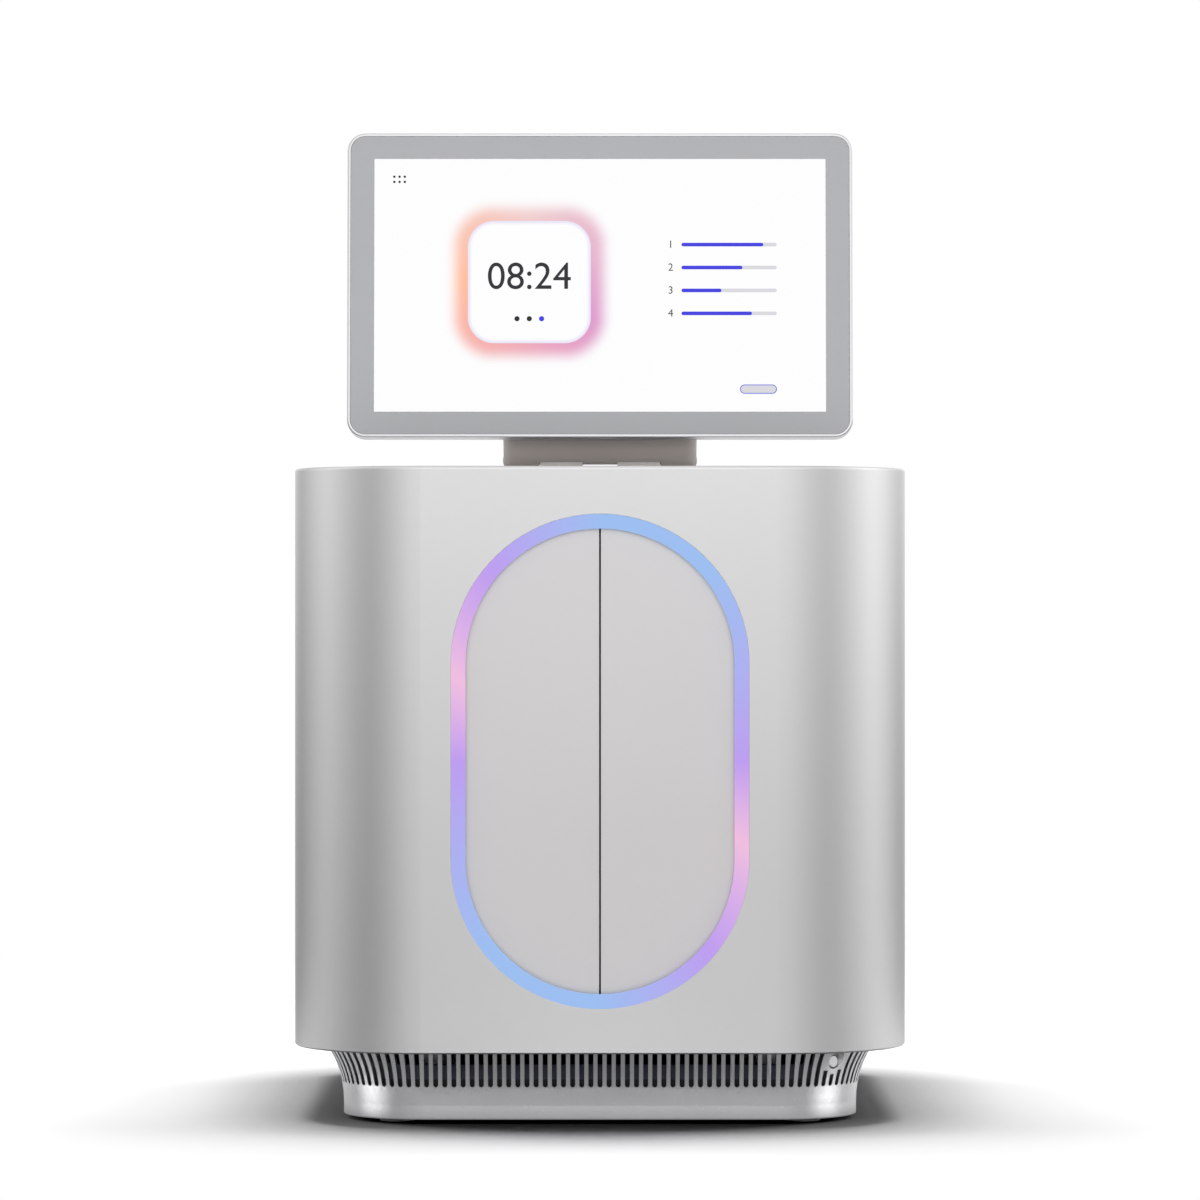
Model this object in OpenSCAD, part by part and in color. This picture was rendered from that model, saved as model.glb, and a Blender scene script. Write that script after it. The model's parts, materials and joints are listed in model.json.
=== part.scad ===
// Benchtop sequencer: casing with a stadium door, light ring, flared base and a monitor on an arm.
// Origin: centre of the footprint on the resting surface. +Z up, the front faces -Y. Millimetres.

/* [Casing] */
// Width of the casing, side to side
casing_w = 400; // [360:1:480]
// Depth of the casing, front to back
casing_d = 450; // [420:1:540]
// Height of the casing, from its lower edge to the top cover's face
casing_h = 377; // [365:1:460]
// Height of the casing's lower edge above the resting surface
casing_z = 48; // [44:1:60]
// Plan radius of the upright corners
corner_r = 85; // [75:1:100]
// Sheet thickness of the casing
casing_t = 3; // [2:0.5:4]
// Thickness of the top cover
cover_t = 3.5; // [3:0.5:6]
// Rounding of the casing's upper edge
top_edge_r = 2; // [1:0.5:2.5]
// Chamfer along the casing's lower edge
edge_chamfer = 0.9; // [0.3:0.1:1]
// Side of the square upright posts
post_w = 14; // [10:1:18]

/* [Base] */
// Height of the feet that show under the base
foot_h = 3; // [2:0.5:6]
// Radius of a foot
foot_r = 11.5; // [8:0.5:16]
// How far the base stands in from the casing, all round
base_inset = 32; // [24:1:36]
// Wall thickness of the flared skirt
skirt_t = 3; // [2:0.5:4]
// Radius of the flare
flare_r = 62; // [50:1:74]
// Height above the base's underside at which the flare starts
flare_start = 9; // [6:1:11]
// Width of an intake slot
slot_w = 3.2; // [2:0.1:3.8]
// Spacing of the intake slots
slot_pitch = 6; // [5:0.5:8]
// Height of the slots' lower end above the base's underside
slot_low = 21; // [16:1:26]
// Radius of the power button's face
button_r = 4; // [3:0.5:5]
// Travel of the power button
button_travel = 1.5; // [1:0.1:2]

/* [Loading doors] */
// Width of the light ring
ring_w = 191; // [170:1:200]
// Height of the light ring
ring_h = 317; // [290:1:320]
// Width of the ring's band
ring_band = 9.3; // [7:0.1:12]
// Height of the ring's centre above the resting surface
ring_z = 235.6; // [232:0.1:240]
// Thickness of the ring's light board
board_t = 1.5; // [1:0.1:2]
// Thickness of a door leaf
leaf_t = 3; // [2:0.5:4]
// How far a leaf reaches behind the ring
leaf_lap = 4; // [3:0.5:6]
// Width of the seam between the leaves
seam_w = 1.1; // [0.6:0.1:2]
// Angle of the door tracks to the front, in degrees
track_angle = 17; // [16:0.5:18]
// Pitch radius of the belt pulleys
pulley_pitch_r = 15; // [14:0.5:16]
// Thickness of the drive belt
belt_t = 1.4; // [1:0.1:2]
// Width of the drive belt
belt_w = 8; // [6:1:9]

/* [Loading bay] */
// Depth of the loading bay
bay_depth = 160; // [120:1:175]
// Thickness of the bay's sheet
bay_t = 2; // [1.5:0.5:3]

/* [Monitor] */
// Width of the monitor
monitor_w = 329; // [300:1:360]
// Height of the monitor
monitor_h = 199; // [180:1:205]
// Thickness of the monitor
monitor_t = 22; // [20:1:28]
// Corner radius of the monitor
monitor_r = 11.7; // [9:0.1:20]
// Width of the silver rim round the glass
rim_w = 2; // [1.5:0.1:4]
// Width of the display's lit area
display_w = 293.8; // [250:0.1:296]
// Height of the display's lit area
display_h = 165.2; // [140:0.1:168]
// Backward tilt of the monitor at rest, in degrees
monitor_tilt = 3.5; // [0:0.5:10]

/* [Arm] */
// Width of the arm
arm_w = 131; // [120:1:160]
// Thickness of the arm
arm_t = 16; // [14:1:16]
// Length of the arm between its two hinge axes
arm_len = 163.4; // [150:0.1:190]
// Forward lean of the arm at rest, in degrees
arm_lean = 46.7; // [40:0.1:50]
// Radius of the hinge barrels
barrel_r = 8.5; // [8.5:0.5:9]
// Distance of the lower hinge axis in front of the centre
hinge_front = 16; // [0:1:30]
// Radius of the hinge pins
pin_r = 3; // [2.5:0.5:4]

/* [Clearances] */
// Gap between fixed neighbours
fit = 0.3; // [0.2:0.1:0.4]
// Radial clearance of a pin in its bore
pin_fit = 0.05; // [0.03:0.01:0.08]
// Clearance between sliding pieces
slide_fit = 0.3; // [0.2:0.1:0.5]

/* [Hidden] */
$fn = 64;

// Corner centres, which every ring round the body shares
cx = casing_w / 2 - corner_r;
cy = casing_d / 2 - corner_r;
front_y = -casing_d / 2;
back_y = casing_d / 2;
inner_r = corner_r - casing_t;
top_z = casing_z + casing_h;
cover_z = top_z - cover_t;

// Base
base_z = foot_h;
base_r = corner_r - base_inset;
flare_z = base_z + flare_start;
pan_z = casing_z + 2;
pan_t = 3;
slot_end = base_z + slot_low;
slot_rim = 2.5;
foot_edge_r = 0.8;
foot_x = cx + 17;
foot_y = cy + 21;
button_z = casing_z - 8;
button_angle = 39;
well_r = button_r + slide_fit + 2;
well_back = base_r - 9;
button_lean = flare_r - sqrt(pow(flare_r, 2) - pow(button_z - flare_z, 2));
button_face = base_r + button_lean - 2;
scoop_r = button_r + 2.8;

// Doors
door_w = ring_w - 2 * ring_band;
door_h = ring_h - 2 * ring_band;
door_top = ring_z + door_h / 2;
door_low = ring_z - door_h / 2;
board_margin = 0.43 * (cx - ring_w / 2);
board_y = front_y + casing_t;
leaf_y = board_y + board_t + 1;
leaf_back = leaf_y + leaf_t;
rail_y = leaf_back + 13.5;
rail_w = 6;
rail_h = 7;
track_t = 3;
upper_track_z = door_top - 8.5;
lower_track_z = door_low - 16.8;
roof_t = 3.3;
roof_up = track_t + rail_h + slide_fit;
shoe_from = 6;
shoe_to = 34;
shoe_side = 4;
hanger_pad_t = 3;
post_x = cx + inner_r - fit - post_w / 2;
post_y = cy - post_w / 2;

// Belt drive
door_travel = door_w / 2;
door_inward = door_travel * tan(track_angle);
rail_len = shoe_to + door_travel / cos(track_angle) + 3;
belt_y = front_y + 57;
pulley_x = cx + 43;
clamp_x = 45;
clamp_len = 16;
belt_z = upper_track_z + 20;
clamp_pin_r = 2.5;

// Rear face
fan_x = cx / 2 + 4.5;
fan_z = top_z - 120;
fan_size = 80;
fan_bore = fan_size / 2 - 2;
grille_pitch = 8;
panel_y = back_y - 10;
panel_size = [2 * (cx - 12), 44];
panel_z = casing_z + 47;
inlet_x = -panel_size.x / 2 + 28;
inlet_size = [27.5, 20.5];
switch_x = inlet_x + 36;
switch_size = [12, 20];
ports_from = panel_size.x / 2;
ports = [
    [ports_from - 85, 12, 10], [ports_from - 59, 12.6, 5.4],
    [ports_from - 37, 12.6, 5.4], [ports_from - 13, 12.6, 5.4]
];

// Loading bay
bay_w = door_w + 4;
bay_front = leaf_back + 31;
bay_top = upper_track_z - 5;
bay_low = lower_track_z + 28;
bay_mid = (bay_top + bay_low) / 2 + 20;

// Shelf that carries the optics
shelf_z = bay_mid - 12;
shelf_t = 3;
shelf_front = bay_front + bay_depth + 4;
shelf_back = cy + 40;

// Arm and monitor
hinge_y = -hinge_front;
hinge_z = top_z + barrel_r + 0.5;
knuckle_r = barrel_r - 0.3;
knuckle_in = 11.7;
knuckle_out = 40.6;
knuckle_gap = 0.5;
notch_r = barrel_r + 0.7;
ear_in = 30;
ear_out = 45;
tilt_arm = 12.5;

module quarter(r) {
    intersection() {
        circle(r);
        square(r);
    }
}

module round_rect(w, h, r) {
    square([w - 2 * r, h], center = true);
    square([w, h - 2 * r], center = true);
    for (x = [-1, 1], y = [-1, 1])
        translate([x * (w / 2 - r), y * (h / 2 - r)]) circle(r);
}

module stadium(w, h) {
    r = min(w, h) / 2;
    square([w > h ? w - 2 * r : w, w > h ? h : h - 2 * r], center = true);
    for (s = [-1, 1])
        translate(w > h ? [s * (w / 2 - r), 0] : [0, s * (h / 2 - r)]) circle(r);
}

// Plan outline at radius r from the shared corner centres
module outline(r) {
    round_rect(2 * (cx + r), 2 * (cy + r), r);
}

// Flat plate with that outline, from z0 up to z1
module slab(r, z0, z1) {
    translate([0, 0, z0]) linear_extrude(z1 - z0) outline(r);
}

// Carries a profile round a rounded rectangle. Runs and corners count from +X, anticlockwise.
module sweep_rounded(half_x = cx, half_y = cy, runs = [0, 1, 2, 3], corners = [0, 1, 2, 3]) {
    for (i = [0:3]) {
        across = i % 2 == 0 ? half_x : half_y;
        along = i % 2 == 0 ? half_y : half_x;
        rotate([0, 0, 90 * i]) {
            if (len(search(i, runs)) > 0)
                translate([across, along, 0]) rotate([90, 0, 0]) linear_extrude(2 * along) children();
            if (len(search(i, corners)) > 0)
                translate([across, along, 0]) rotate_extrude(angle = 90) children();
        }
    }
}

// Extrudes a shape drawn in the XZ plane from y0 back to y1
module upright(y0, y1) {
    translate([0, y1, 0]) rotate([90, 0, 0]) linear_extrude(y1 - y0) children();
}

module box(lo, hi) {
    translate(lo) cube(hi - lo);
}

module both_sides() {
    children();
    mirror([1, 0, 0]) children();
}

// ---- Casing ----

module casing_wall(lo, hi) {
    polygon([
        [inner_r, lo], [corner_r - edge_chamfer, lo], [corner_r, lo + edge_chamfer],
        [corner_r, hi - top_edge_r], [corner_r - top_edge_r, hi], [inner_r, hi]
    ]);
    translate([corner_r - top_edge_r, hi - top_edge_r]) quarter(top_edge_r);
}

module casing() {
    color("silver")
        difference() {
            sweep_rounded(runs = [0, 2, 3], corners = [2, 3]) casing_wall(casing_z, top_z);
            translate([0, 0, ring_z]) upright(front_y - 1, front_y + casing_t + 1)
                stadium(ring_w + 0.2, ring_h + 0.2);
        }
}

module rear_cover() {
    color("silver")
        difference() {
            sweep_rounded(runs = [1], corners = [0, 1]) casing_wall(casing_z, top_z);
            box([-casing_w, cy - 1, 0], [casing_w, cy + 0.4, top_z]);
            for (side = [-1, 1], n = [-4:4])
                translate([side * fan_x, 0, fan_z + n * grille_pitch])
                    upright(back_y - casing_t - 1, back_y + 1)
                        stadium(2 * sqrt(pow(fan_bore, 2) - pow(n * grille_pitch, 2)) - 2, 4.5);
            connector_recess(back_y - casing_t - 1, back_y + 1, 0);
        }
}

// Plate let into the casing's top, flush with its rim, with a locating rib underneath
module top_cover() {
    rib_h = 6;
    rib_in = post_w + 6;
    color("silver") {
        slab(inner_r - fit, cover_z, top_z);
        sweep_rounded() translate([inner_r - fit - rib_in, cover_z - rib_h]) square([2, rib_h + 0.5]);
    }
}

pan_slot = [10, 56];

module floor_pan() {
    color("dimgray")
        difference() {
            slab(inner_r - fit, pan_z, pan_z + pan_t);
            for (i = [-5:5], j = [-1, 1])
                translate([i * 18, j * 40, pan_z - 1]) linear_extrude(pan_t + 2) stadium(pan_slot.x, pan_slot.y);
        }
}

module posts() {
    color("gray")
        for (x = [-1, 1], y = [-1, 1])
            translate([x * post_x, y * post_y, (pan_z + pan_t + cover_z) / 2])
                cube([post_w, post_w, cover_z - pan_z - pan_t], center = true);
}

module shelf() {
    w = post_x - post_w / 2 - fit;
    color("gray") {
        box([-w, shelf_front, shelf_z], [w, shelf_back, shelf_z + shelf_t]);
        both_sides() box([w - 2, -cy, shelf_z - 12], [w, shelf_back, shelf_z + shelf_t]);
    }
}

// ---- Base ----

// Flared wall: upright at the foot, then an arc that leans out under the casing
module skirt_profile() {
    arc_x = base_r + flare_r;
    difference() {
        intersection() {
            translate([base_r - skirt_t, base_z]) square([flare_r, pan_z - base_z]);
            union() {
                translate([arc_x, flare_z]) circle(flare_r + skirt_t, $fn = 128);
                translate([base_r - skirt_t, 0]) square([2 * flare_r, flare_z]);
            }
        }
        translate([arc_x, flare_z]) circle(flare_r, $fn = 128);
        translate([base_r, 0]) square([2 * flare_r, flare_z]);
        translate([base_r - foot_edge_r, base_z])
            difference() {
                square(foot_edge_r);
                translate([0, foot_edge_r]) rotate(-90) quarter(foot_edge_r);
            }
    }
}

// One slot, cut outwards along +X: round at its foot, up to hi
module intake_slot(hi) {
    translate([base_r - skirt_t - 2, 0, 0]) rotate([90, 0, 90]) linear_extrude(flare_r) {
        translate([0, slot_end + slot_w / 2]) circle(d = slot_w, $fn = 24);
        translate([-slot_w / 2, slot_end + slot_w / 2]) square([slot_w, hi - slot_end - slot_w / 2]);
    }
}

// Top of a slot at angle a round the button's corner: short where the button is in the way
function slot_top_at(a) =
    let (off = (a - button_angle) * PI / 180 * (base_r + 6), clear = well_r + slot_w / 2 + 0.45)
    abs(off) < clear ? button_z - sqrt(pow(clear, 2) - pow(off, 2)) : pan_z - slot_rim;

module base_skirt() {
    corner_n = round(PI / 2 * (base_r + 3) / slot_pitch);
    step = 90 / corner_n;
    color("darkgray")
        difference() {
            sweep_rounded() skirt_profile();
            for (i = [0:3]) {
                across = i % 2 == 0 ? cx : cy;
                along = i % 2 == 0 ? cy : cx;
                half_n = floor(along / slot_pitch);
                pitch = 2 * along / (2 * half_n + 1);
                rotate([0, 0, 90 * i]) {
                    for (n = [-half_n:half_n])
                        translate([across, n * pitch, 0]) intake_slot(pan_z - slot_rim);
                    for (n = [0:corner_n - 1])
                        translate([across, along, 0]) rotate([0, 0, (n + 0.5) * step])
                            intake_slot(i == 3 ? slot_top_at((n + 0.5) * step) : pan_z - slot_rim);
                }
            }
            button_scoop();
        }
}

// The power button sits on the front right corner: +X points out through it
module button_place() {
    translate([cx, -cy, button_z]) rotate([0, 0, button_angle - 90]) children();
}

// Bore for the button, opening into a scoop at the skirt's face
module button_scoop() {
    bore_r = button_r + slide_fit;
    mouth_x = button_face - 1;
    button_place() rotate([0, 90, 0]) rotate_extrude()
        polygon([
            [0, well_back], [bore_r, well_back], [bore_r, mouth_x], [scoop_r, mouth_x + 1.8 * (scoop_r - bore_r)],
            [scoop_r, corner_r], [0, corner_r]
        ]);
}

// Blind tube behind the skirt, cut to the skirt's inner face
module button_well() {
    color("darkgray")
        difference() {
            button_place() rotate([0, 90, 0]) rotate_extrude() {
                translate([button_r + slide_fit, well_back]) square([well_r - button_r - slide_fit, flare_r / 2]);
                translate([0, well_back]) square([well_r, 2]);
            }
            translate([cx, -cy, 0]) rotate([0, 0, -90]) rotate_extrude(angle = 90)
                translate([base_r + flare_r, flare_z]) circle(flare_r + skirt_t + fit, $fn = 128);
        }
}

module power_button() {
    stem = well_back + 2 + fit + button_travel;
    color("whitesmoke")
        button_place() rotate([0, 90, 0]) rotate_extrude() {
            translate([0, stem]) square([button_r, button_face - 0.6 - stem]);
            translate([0, button_face - 0.61]) square([button_r - 0.6, 0.61]);
            translate([button_r - 0.6, button_face - 0.6]) quarter(0.6);
        }
}

module base_plate() {
    color("dimgray") slab(base_r - skirt_t - fit, base_z, base_z + 3);
}

module base_pillars() {
    color("gray")
        for (x = [-1, 1], y = [-1, 1])
            translate([x * (cx - 8), y * (cy - 8), base_z + 3]) cylinder(r = 10, h = pan_z - base_z - 3);
}

module feet() {
    color("#303030")
        for (x = [-1, 1], y = [-1, 1])
            translate([x * foot_x, y * foot_y, 0]) rotate_extrude() {
                square([foot_r, foot_h]);
            }
}

carrier_r = base_r - skirt_t - 9;
filter_t = 6;
filter_z = base_z + 25;

module filter_carrier() {
    color("#202020")
        sweep_rounded() translate([carrier_r - 2, base_z + 3]) square([2, filter_z - base_z - 3]);
}

module air_filter() {
    color("slategray")
        sweep_rounded() translate([carrier_r - filter_t, filter_z]) square([filter_t, 9.5]);
}

// ---- Light ring and doors ----

module light_ring() {
    color("#a9b8f5")
        translate([0, 0, ring_z]) upright(front_y, board_y)
            difference() {
                stadium(ring_w, ring_h);
                stadium(door_w, door_h);
            }
}

module ring_board() {
    color("#d8d8d0")
        translate([0, 0, ring_z]) upright(board_y, board_y + board_t)
            difference() {
                stadium(ring_w + 2 * board_margin, ring_h + 2 * board_margin);
                stadium(door_w + 0.6, door_h + 0.6);
            }
}

module leaf_outline() {
    intersection() {
        stadium(door_w + 2 * leaf_lap, door_h + 2 * leaf_lap);
        translate([seam_w / 2, -ring_h]) square([ring_w, 2 * ring_h]);
    }
}

module right_leaf() {
    color("lightgray") translate([0, 0, ring_z]) upright(leaf_y, leaf_back) leaf_outline();
}

module left_leaf() {
    color("lightgray") mirror([1, 0, 0]) translate([0, 0, ring_z]) upright(leaf_y, leaf_back) leaf_outline();
}

module seam_seal() {
    color("#181818") {
        box([-6, leaf_back, door_low + 4], [-seam_w, leaf_back + 1.8, door_top - 4]);
        box([-seam_w - 1, leaf_back + slide_fit, door_low + 4], [4, leaf_back + 1.8, door_top - 4]);
    }
}

// Places things in the frame of the right-hand rail: +X along the rail, outwards
module rail_frame() {
    translate([0, rail_y, 0]) rotate([0, 0, track_angle]) children();
}

module track(z) {
    edge = 5.2;
    knee = 80;
    knee_y = rail_y - edge + knee * tan(track_angle);
    rear = cy * -1 - fit;
    translate([0, 0, z]) {
        intersection() {
            linear_extrude(track_t)
                polygon([
                    [0, rail_y - edge], [knee, knee_y], [casing_w, knee_y], [casing_w, rear],
                    [-casing_w, rear], [-casing_w, knee_y], [-knee, knee_y]
                ]);
            slab(inner_r - fit, 0, track_t);
        }
        both_sides() rail_frame() box([0, -rail_w / 2, 1], [rail_len, rail_w / 2, track_t + rail_h]);
    }
}

module upper_track() {
    color("gray")
        difference() {
            track(upper_track_z);
            translate([-pulley_x, belt_y, upper_track_z - 1]) cylinder(r = 4.5, h = track_t + 2);
        }
}

module lower_track() {
    color("gray") track(lower_track_z);
}

// Shoe that rides over a rail, with a roof plate that reaches forward to a pad on the leaf
module door_shoe(z, pad_lo, pad_hi, flange) {
    side = rail_w / 2 + slide_fit + shoe_side;
    top = z + roof_up;
    difference() {
        union() {
            translate([0, 0, top]) linear_extrude(roof_t) {
                rail_frame() translate([shoe_from, -side]) square([shoe_to - shoe_from, 2 * side]);
                translate([shoe_from, leaf_back]) square([shoe_to - shoe_from - 2, rail_y - leaf_back]);
                children();
            }
            rail_frame() for (s = [-1, 1])
                translate([shoe_from, s > 0 ? side - shoe_side : -side, z + track_t + 1])
                    cube([shoe_to - shoe_from, shoe_side, rail_h + slide_fit - 1 + 0.01]);
            box([shoe_from, leaf_back, pad_lo], [shoe_to - 2, leaf_back + hanger_pad_t, pad_hi]);
        }
        if (flange != 0)
            translate([0, 0, top - 1]) linear_extrude(roof_t + 2) clamp_slot(flange);
    }
}

// Slot in the hanger along Y, in which the clamp's pin moves back and forth
module clamp_slot(run) {
    pin_y = belt_y + run * pulley_pitch_r;
    translate([clamp_x, pin_y - door_inward / 2])
        stadium(2 * (clamp_pin_r + slide_fit / 2), door_inward + 2 * clamp_pin_r + 1);
}

// The upper hanger with its flange for the clamp's pin, and the lower guide, for one leaf
module door_hanger(run) {
    pin_y = belt_y + run * pulley_pitch_r;
    wall = 4;
    flange_y0 = min(pin_y - door_inward - clamp_pin_r - wall, rail_y + 8);
    door_shoe(upper_track_z, upper_track_z - 16, upper_track_z + roof_up + roof_t, run)
        translate([shoe_to - 6, flange_y0])
            square([clamp_x + 8 - shoe_to + 6, pin_y + clamp_pin_r + wall - flange_y0]);
    door_shoe(lower_track_z, lower_track_z + roof_up, lower_track_z + 42, 0);
}

module right_hanger() {
    color("gray") door_hanger(1);
}

module left_hanger() {
    color("gray") mirror([1, 0, 0]) door_hanger(-1);
}

module belt_path(r) {
    stadium(2 * (pulley_x + r), 2 * r);
}

module drive_belt() {
    color("#202020")
        translate([0, belt_y, belt_z]) linear_extrude(belt_w)
            difference() {
                belt_path(pulley_pitch_r + belt_t / 2);
                belt_path(pulley_pitch_r - belt_t / 2);
            }
}

module pulley(h_low) {
    r = pulley_pitch_r - belt_t / 2 - slide_fit;
    difference() {
        union() {
            translate([0, 0, belt_z - 0.5]) cylinder(r = r, h = belt_w + 1);
            for (z = [belt_z - 2, belt_z + belt_w + 0.5]) translate([0, 0, z]) cylinder(r = r + 2, h = 1.5);
        }
        if (h_low > 0) translate([0, 0, belt_z - 3]) cylinder(r = h_low + pin_fit, h = belt_w + 6);
    }
}

idler_axle_r = 4;

module drive_pulley() {
    color("silver") translate([-pulley_x, belt_y, 0]) {
        pulley(0);
        translate([0, 0, upper_track_z - 4]) cylinder(r = 3, h = belt_z - 2 - upper_track_z + 4.5);
    }
}

module idler_pulley() {
    color("silver") translate([pulley_x, belt_y, 0]) pulley(idler_axle_r);
}

// Motor under the upper track, with the idler's fixed axle as a second solid on the other side
module door_motor() {
    color("#404040") {
        translate([-pulley_x, belt_y, 0]) difference() {
            translate([0, 0, upper_track_z - 42]) cylinder(r = 14, h = 42);
            translate([0, 0, upper_track_z - 5]) cylinder(r = 3 + pin_fit, h = 10);
        }
        translate([pulley_x, belt_y, upper_track_z + track_t]) {
            cylinder(r = idler_axle_r, h = belt_z + belt_w + 3 - upper_track_z - track_t);
            cylinder(r = idler_axle_r + 3, h = belt_z - 2.4 - upper_track_z - track_t);
        }
    }
}

module belt_clamp(run) {
    gap = 0.3;
    translate([clamp_x, belt_y + run * pulley_pitch_r, 0]) {
        difference() {
            translate([-clamp_len / 2, -4, belt_z - 4]) cube([clamp_len, 8, belt_w + 8]);
            translate([-clamp_len, -belt_t / 2 - gap, belt_z - gap]) cube([2 * clamp_len, belt_t + 2 * gap, belt_w + 2 * gap]);
        }
        translate([0, 0, upper_track_z + roof_up + 0.5])
            cylinder(r = clamp_pin_r, h = belt_z - 4 - upper_track_z - roof_up - 0.5);
    }
}

module right_clamp() {
    color("silver") belt_clamp(1);
}

module left_clamp() {
    color("silver") mirror([1, 0, 0]) belt_clamp(-1);
}

// ---- Loading bay ----

// Two open boxes, one above the other, with a collar round the mouth and legs on the lower track
module bay_liner() {
    back = bay_front + bay_depth;
    leg_back = -cy - fit;
    color("whitesmoke") {
        difference() {
            union() {
                box([-bay_w / 2, bay_front, bay_low], [bay_w / 2, back, bay_top]);
                box([-bay_w / 2 - 12, bay_front, bay_low - 6], [bay_w / 2 + 12, bay_front + bay_t, bay_top + 3]);
                box([-70, bay_front, bay_top], [70, bay_front + bay_t, upper_track_z]);
            }
            for (z = [[bay_low + bay_t, bay_mid], [bay_mid + bay_t, bay_top - bay_t]])
                box([-bay_w / 2 + bay_t, bay_front - 1, z[0]], [bay_w / 2 - bay_t, back - bay_t, z[1]]);
        }
        both_sides() box([60, leg_back - 11, lower_track_z + track_t], [80, leg_back, bay_low + 0.5]);
    }
}

// Two guide rails and a back stop on a floor plate, which a cartridge slides into
module nest(w, z, h) {
    back = bay_front + bay_depth - bay_t;
    box([-w / 2, bay_front + 8, z], [w / 2, back, z + 3]);
    both_sides() box([w / 2 - 6, bay_front + 8, z + 3], [w / 2, back, z + h]);
    box([-w / 2 + 6, back - 8, z + 3], [w / 2 - 6, back, z + h]);
}

module upper_nest() {
    color("lightsteelblue") nest(110, bay_mid + bay_t, 16);
}

module lower_nest() {
    color("lightsteelblue") nest(bay_w - 2 * bay_t - 1, bay_low + bay_t, 24);
}

// ---- Optics ----

stage_h = 8;
stage_y0 = shelf_front + 4;
stage_y1 = shelf_back - 8;
rail_x = 40;
carriage_z = shelf_z + shelf_t + stage_h;
carriage_len = 60;
module_z = carriage_z + 45;

module stage_base() {
    color("#303035") box([-70, stage_y0, shelf_z + shelf_t], [70, stage_y1, carriage_z]);
}

module stage_rails() {
    color("silver")
        both_sides() box([rail_x - 4.5, stage_y0 + 4, carriage_z], [rail_x + 4.5, stage_y1 - 4, carriage_z + 6]);
}

module stage_carriage() {
    mid = (stage_y0 + stage_y1) / 2;
    color("#b0b4b8")
        difference() {
            box([-58, mid - carriage_len / 2, carriage_z + 1], [58, mid + carriage_len / 2, carriage_z + 16]);
            both_sides() box([rail_x - 4.5 - slide_fit, stage_y0, carriage_z - 1],
                [rail_x + 4.5 + slide_fit, stage_y1, carriage_z + 6 + slide_fit]);
            box([-30, mid - 20, carriage_z + 13], [30, mid + 20, carriage_z + 17]);
        }
}

module optics_bridge() {
    color("#505058")
        both_sides() box([62, stage_y0 + 30, carriage_z], [70, stage_y1 - 10, module_z + 40]);
}

stage_mid = (stage_y0 + stage_y1) / 2;
objective_r = 12;
housing_t = 3;

// Closed housing with a barrel for the objective hanging from its ceiling plate
module optics_module() {
    color("#404048")
        difference() {
            union() {
                difference() {
                    box([-62, stage_y0 + 20, module_z], [62, stage_y1 - 4, module_z + 90]);
                    box([-62 + housing_t, stage_y0 + 20 + housing_t, module_z + housing_t],
                        [62 - housing_t, stage_y1 - 4 - housing_t, module_z + 90 - housing_t]);
                }
                translate([0, stage_mid, module_z]) cylinder(r = objective_r + housing_t, h = 88);
            }
            translate([0, stage_mid, module_z - 1]) cylinder(r = objective_r + pin_fit, h = 31);
            for (n = [-4:4]) translate([n * 12, stage_y0 + 10, module_z + 55]) cube([4, 20, 25]);
        }
}

module objective() {
    color("silver")
        translate([0, (stage_y0 + stage_y1) / 2, 0]) {
            translate([0, 0, module_z - 12]) cylinder(r = 12, h = 36);
            translate([0, 0, module_z - 20]) cylinder(r = 9, h = 8);
        }
}

// ---- Fluidics ----

pump_pos = [-60, 60];
pump_z = pan_z + pan_t;

pump_h = 120;
syringe_r = 7;
stroke = 34;

// Motor block with a slot for the crosshead, and the glass barrel held in front of it
module syringe_pump() {
    color("#e0e0e4")
        translate([pump_pos.x, pump_pos.y, pump_z])
            difference() {
                union() {
                    box([-25, 0, 0], [25, 60, pump_h]);
                    translate([0, -14, 70]) cylinder(r = syringe_r + 2, h = pump_h - 70);
                    for (z = [72, pump_h - 12]) box([-8, -14, z], [8, 1, z + 8]);
                }
                translate([0, -14, 60]) cylinder(r = syringe_r, h = pump_h - 65);
                box([-6, -1, 14], [6, 25, 64]);
                box([-22, 3, 3], [22, 57, pump_h - 30]);
            }
}

module plunger() {
    color("silver")
        translate([pump_pos.x, pump_pos.y - 14, pump_z]) {
            translate([0, 0, 55]) cylinder(r = 3, h = 52);
            translate([0, 0, pump_h - 12]) cylinder(r = syringe_r - pin_fit, h = 6);
            translate([0, 0, 54]) cylinder(r = 8, h = 6);
            box([-5.5, 0, 54], [5.5, 19, 60]);
        }
}

// ---- Electronics ----

board_x = -post_x + post_w / 2 + 6;

module main_board() {
    color("darkgreen") {
        box([board_x, -80, 90], [board_x + 1.6, 110, 215]);
        for (y = [-70, 100], z = [98, 207])
            translate([board_x, y, z]) rotate([0, -90, 0]) cylinder(r = 3, h = board_x + cx + inner_r - fit);
    }
}

module heat_sink() {
    color("silver") {
        box([board_x + 1.6, -20, 130], [board_x + 6, 40, 190]);
        for (n = [0:9])
            box([board_x + 6, -20 + n * 6.2, 130], [board_x + 24, -18 + n * 6.2, 190]);
    }
}

// Sheet box with air slots in its two ends
module power_supply() {
    sheet = 1.5;
    lo = [30, 40, pan_z + pan_t];
    hi = [130, 180, pan_z + pan_t + 62];
    color("#c8c8c4")
        difference() {
            box(lo, hi);
            box(lo + sheet * [1, 1, 1], hi - sheet * [1, 1, 1]);
            for (x = [lo.x + 10 : 8 : hi.x - 10])
                translate([x, lo.y - 1, lo.z + 10]) cube([3, hi.y - lo.y + 2, 42]);
        }
}

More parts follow.
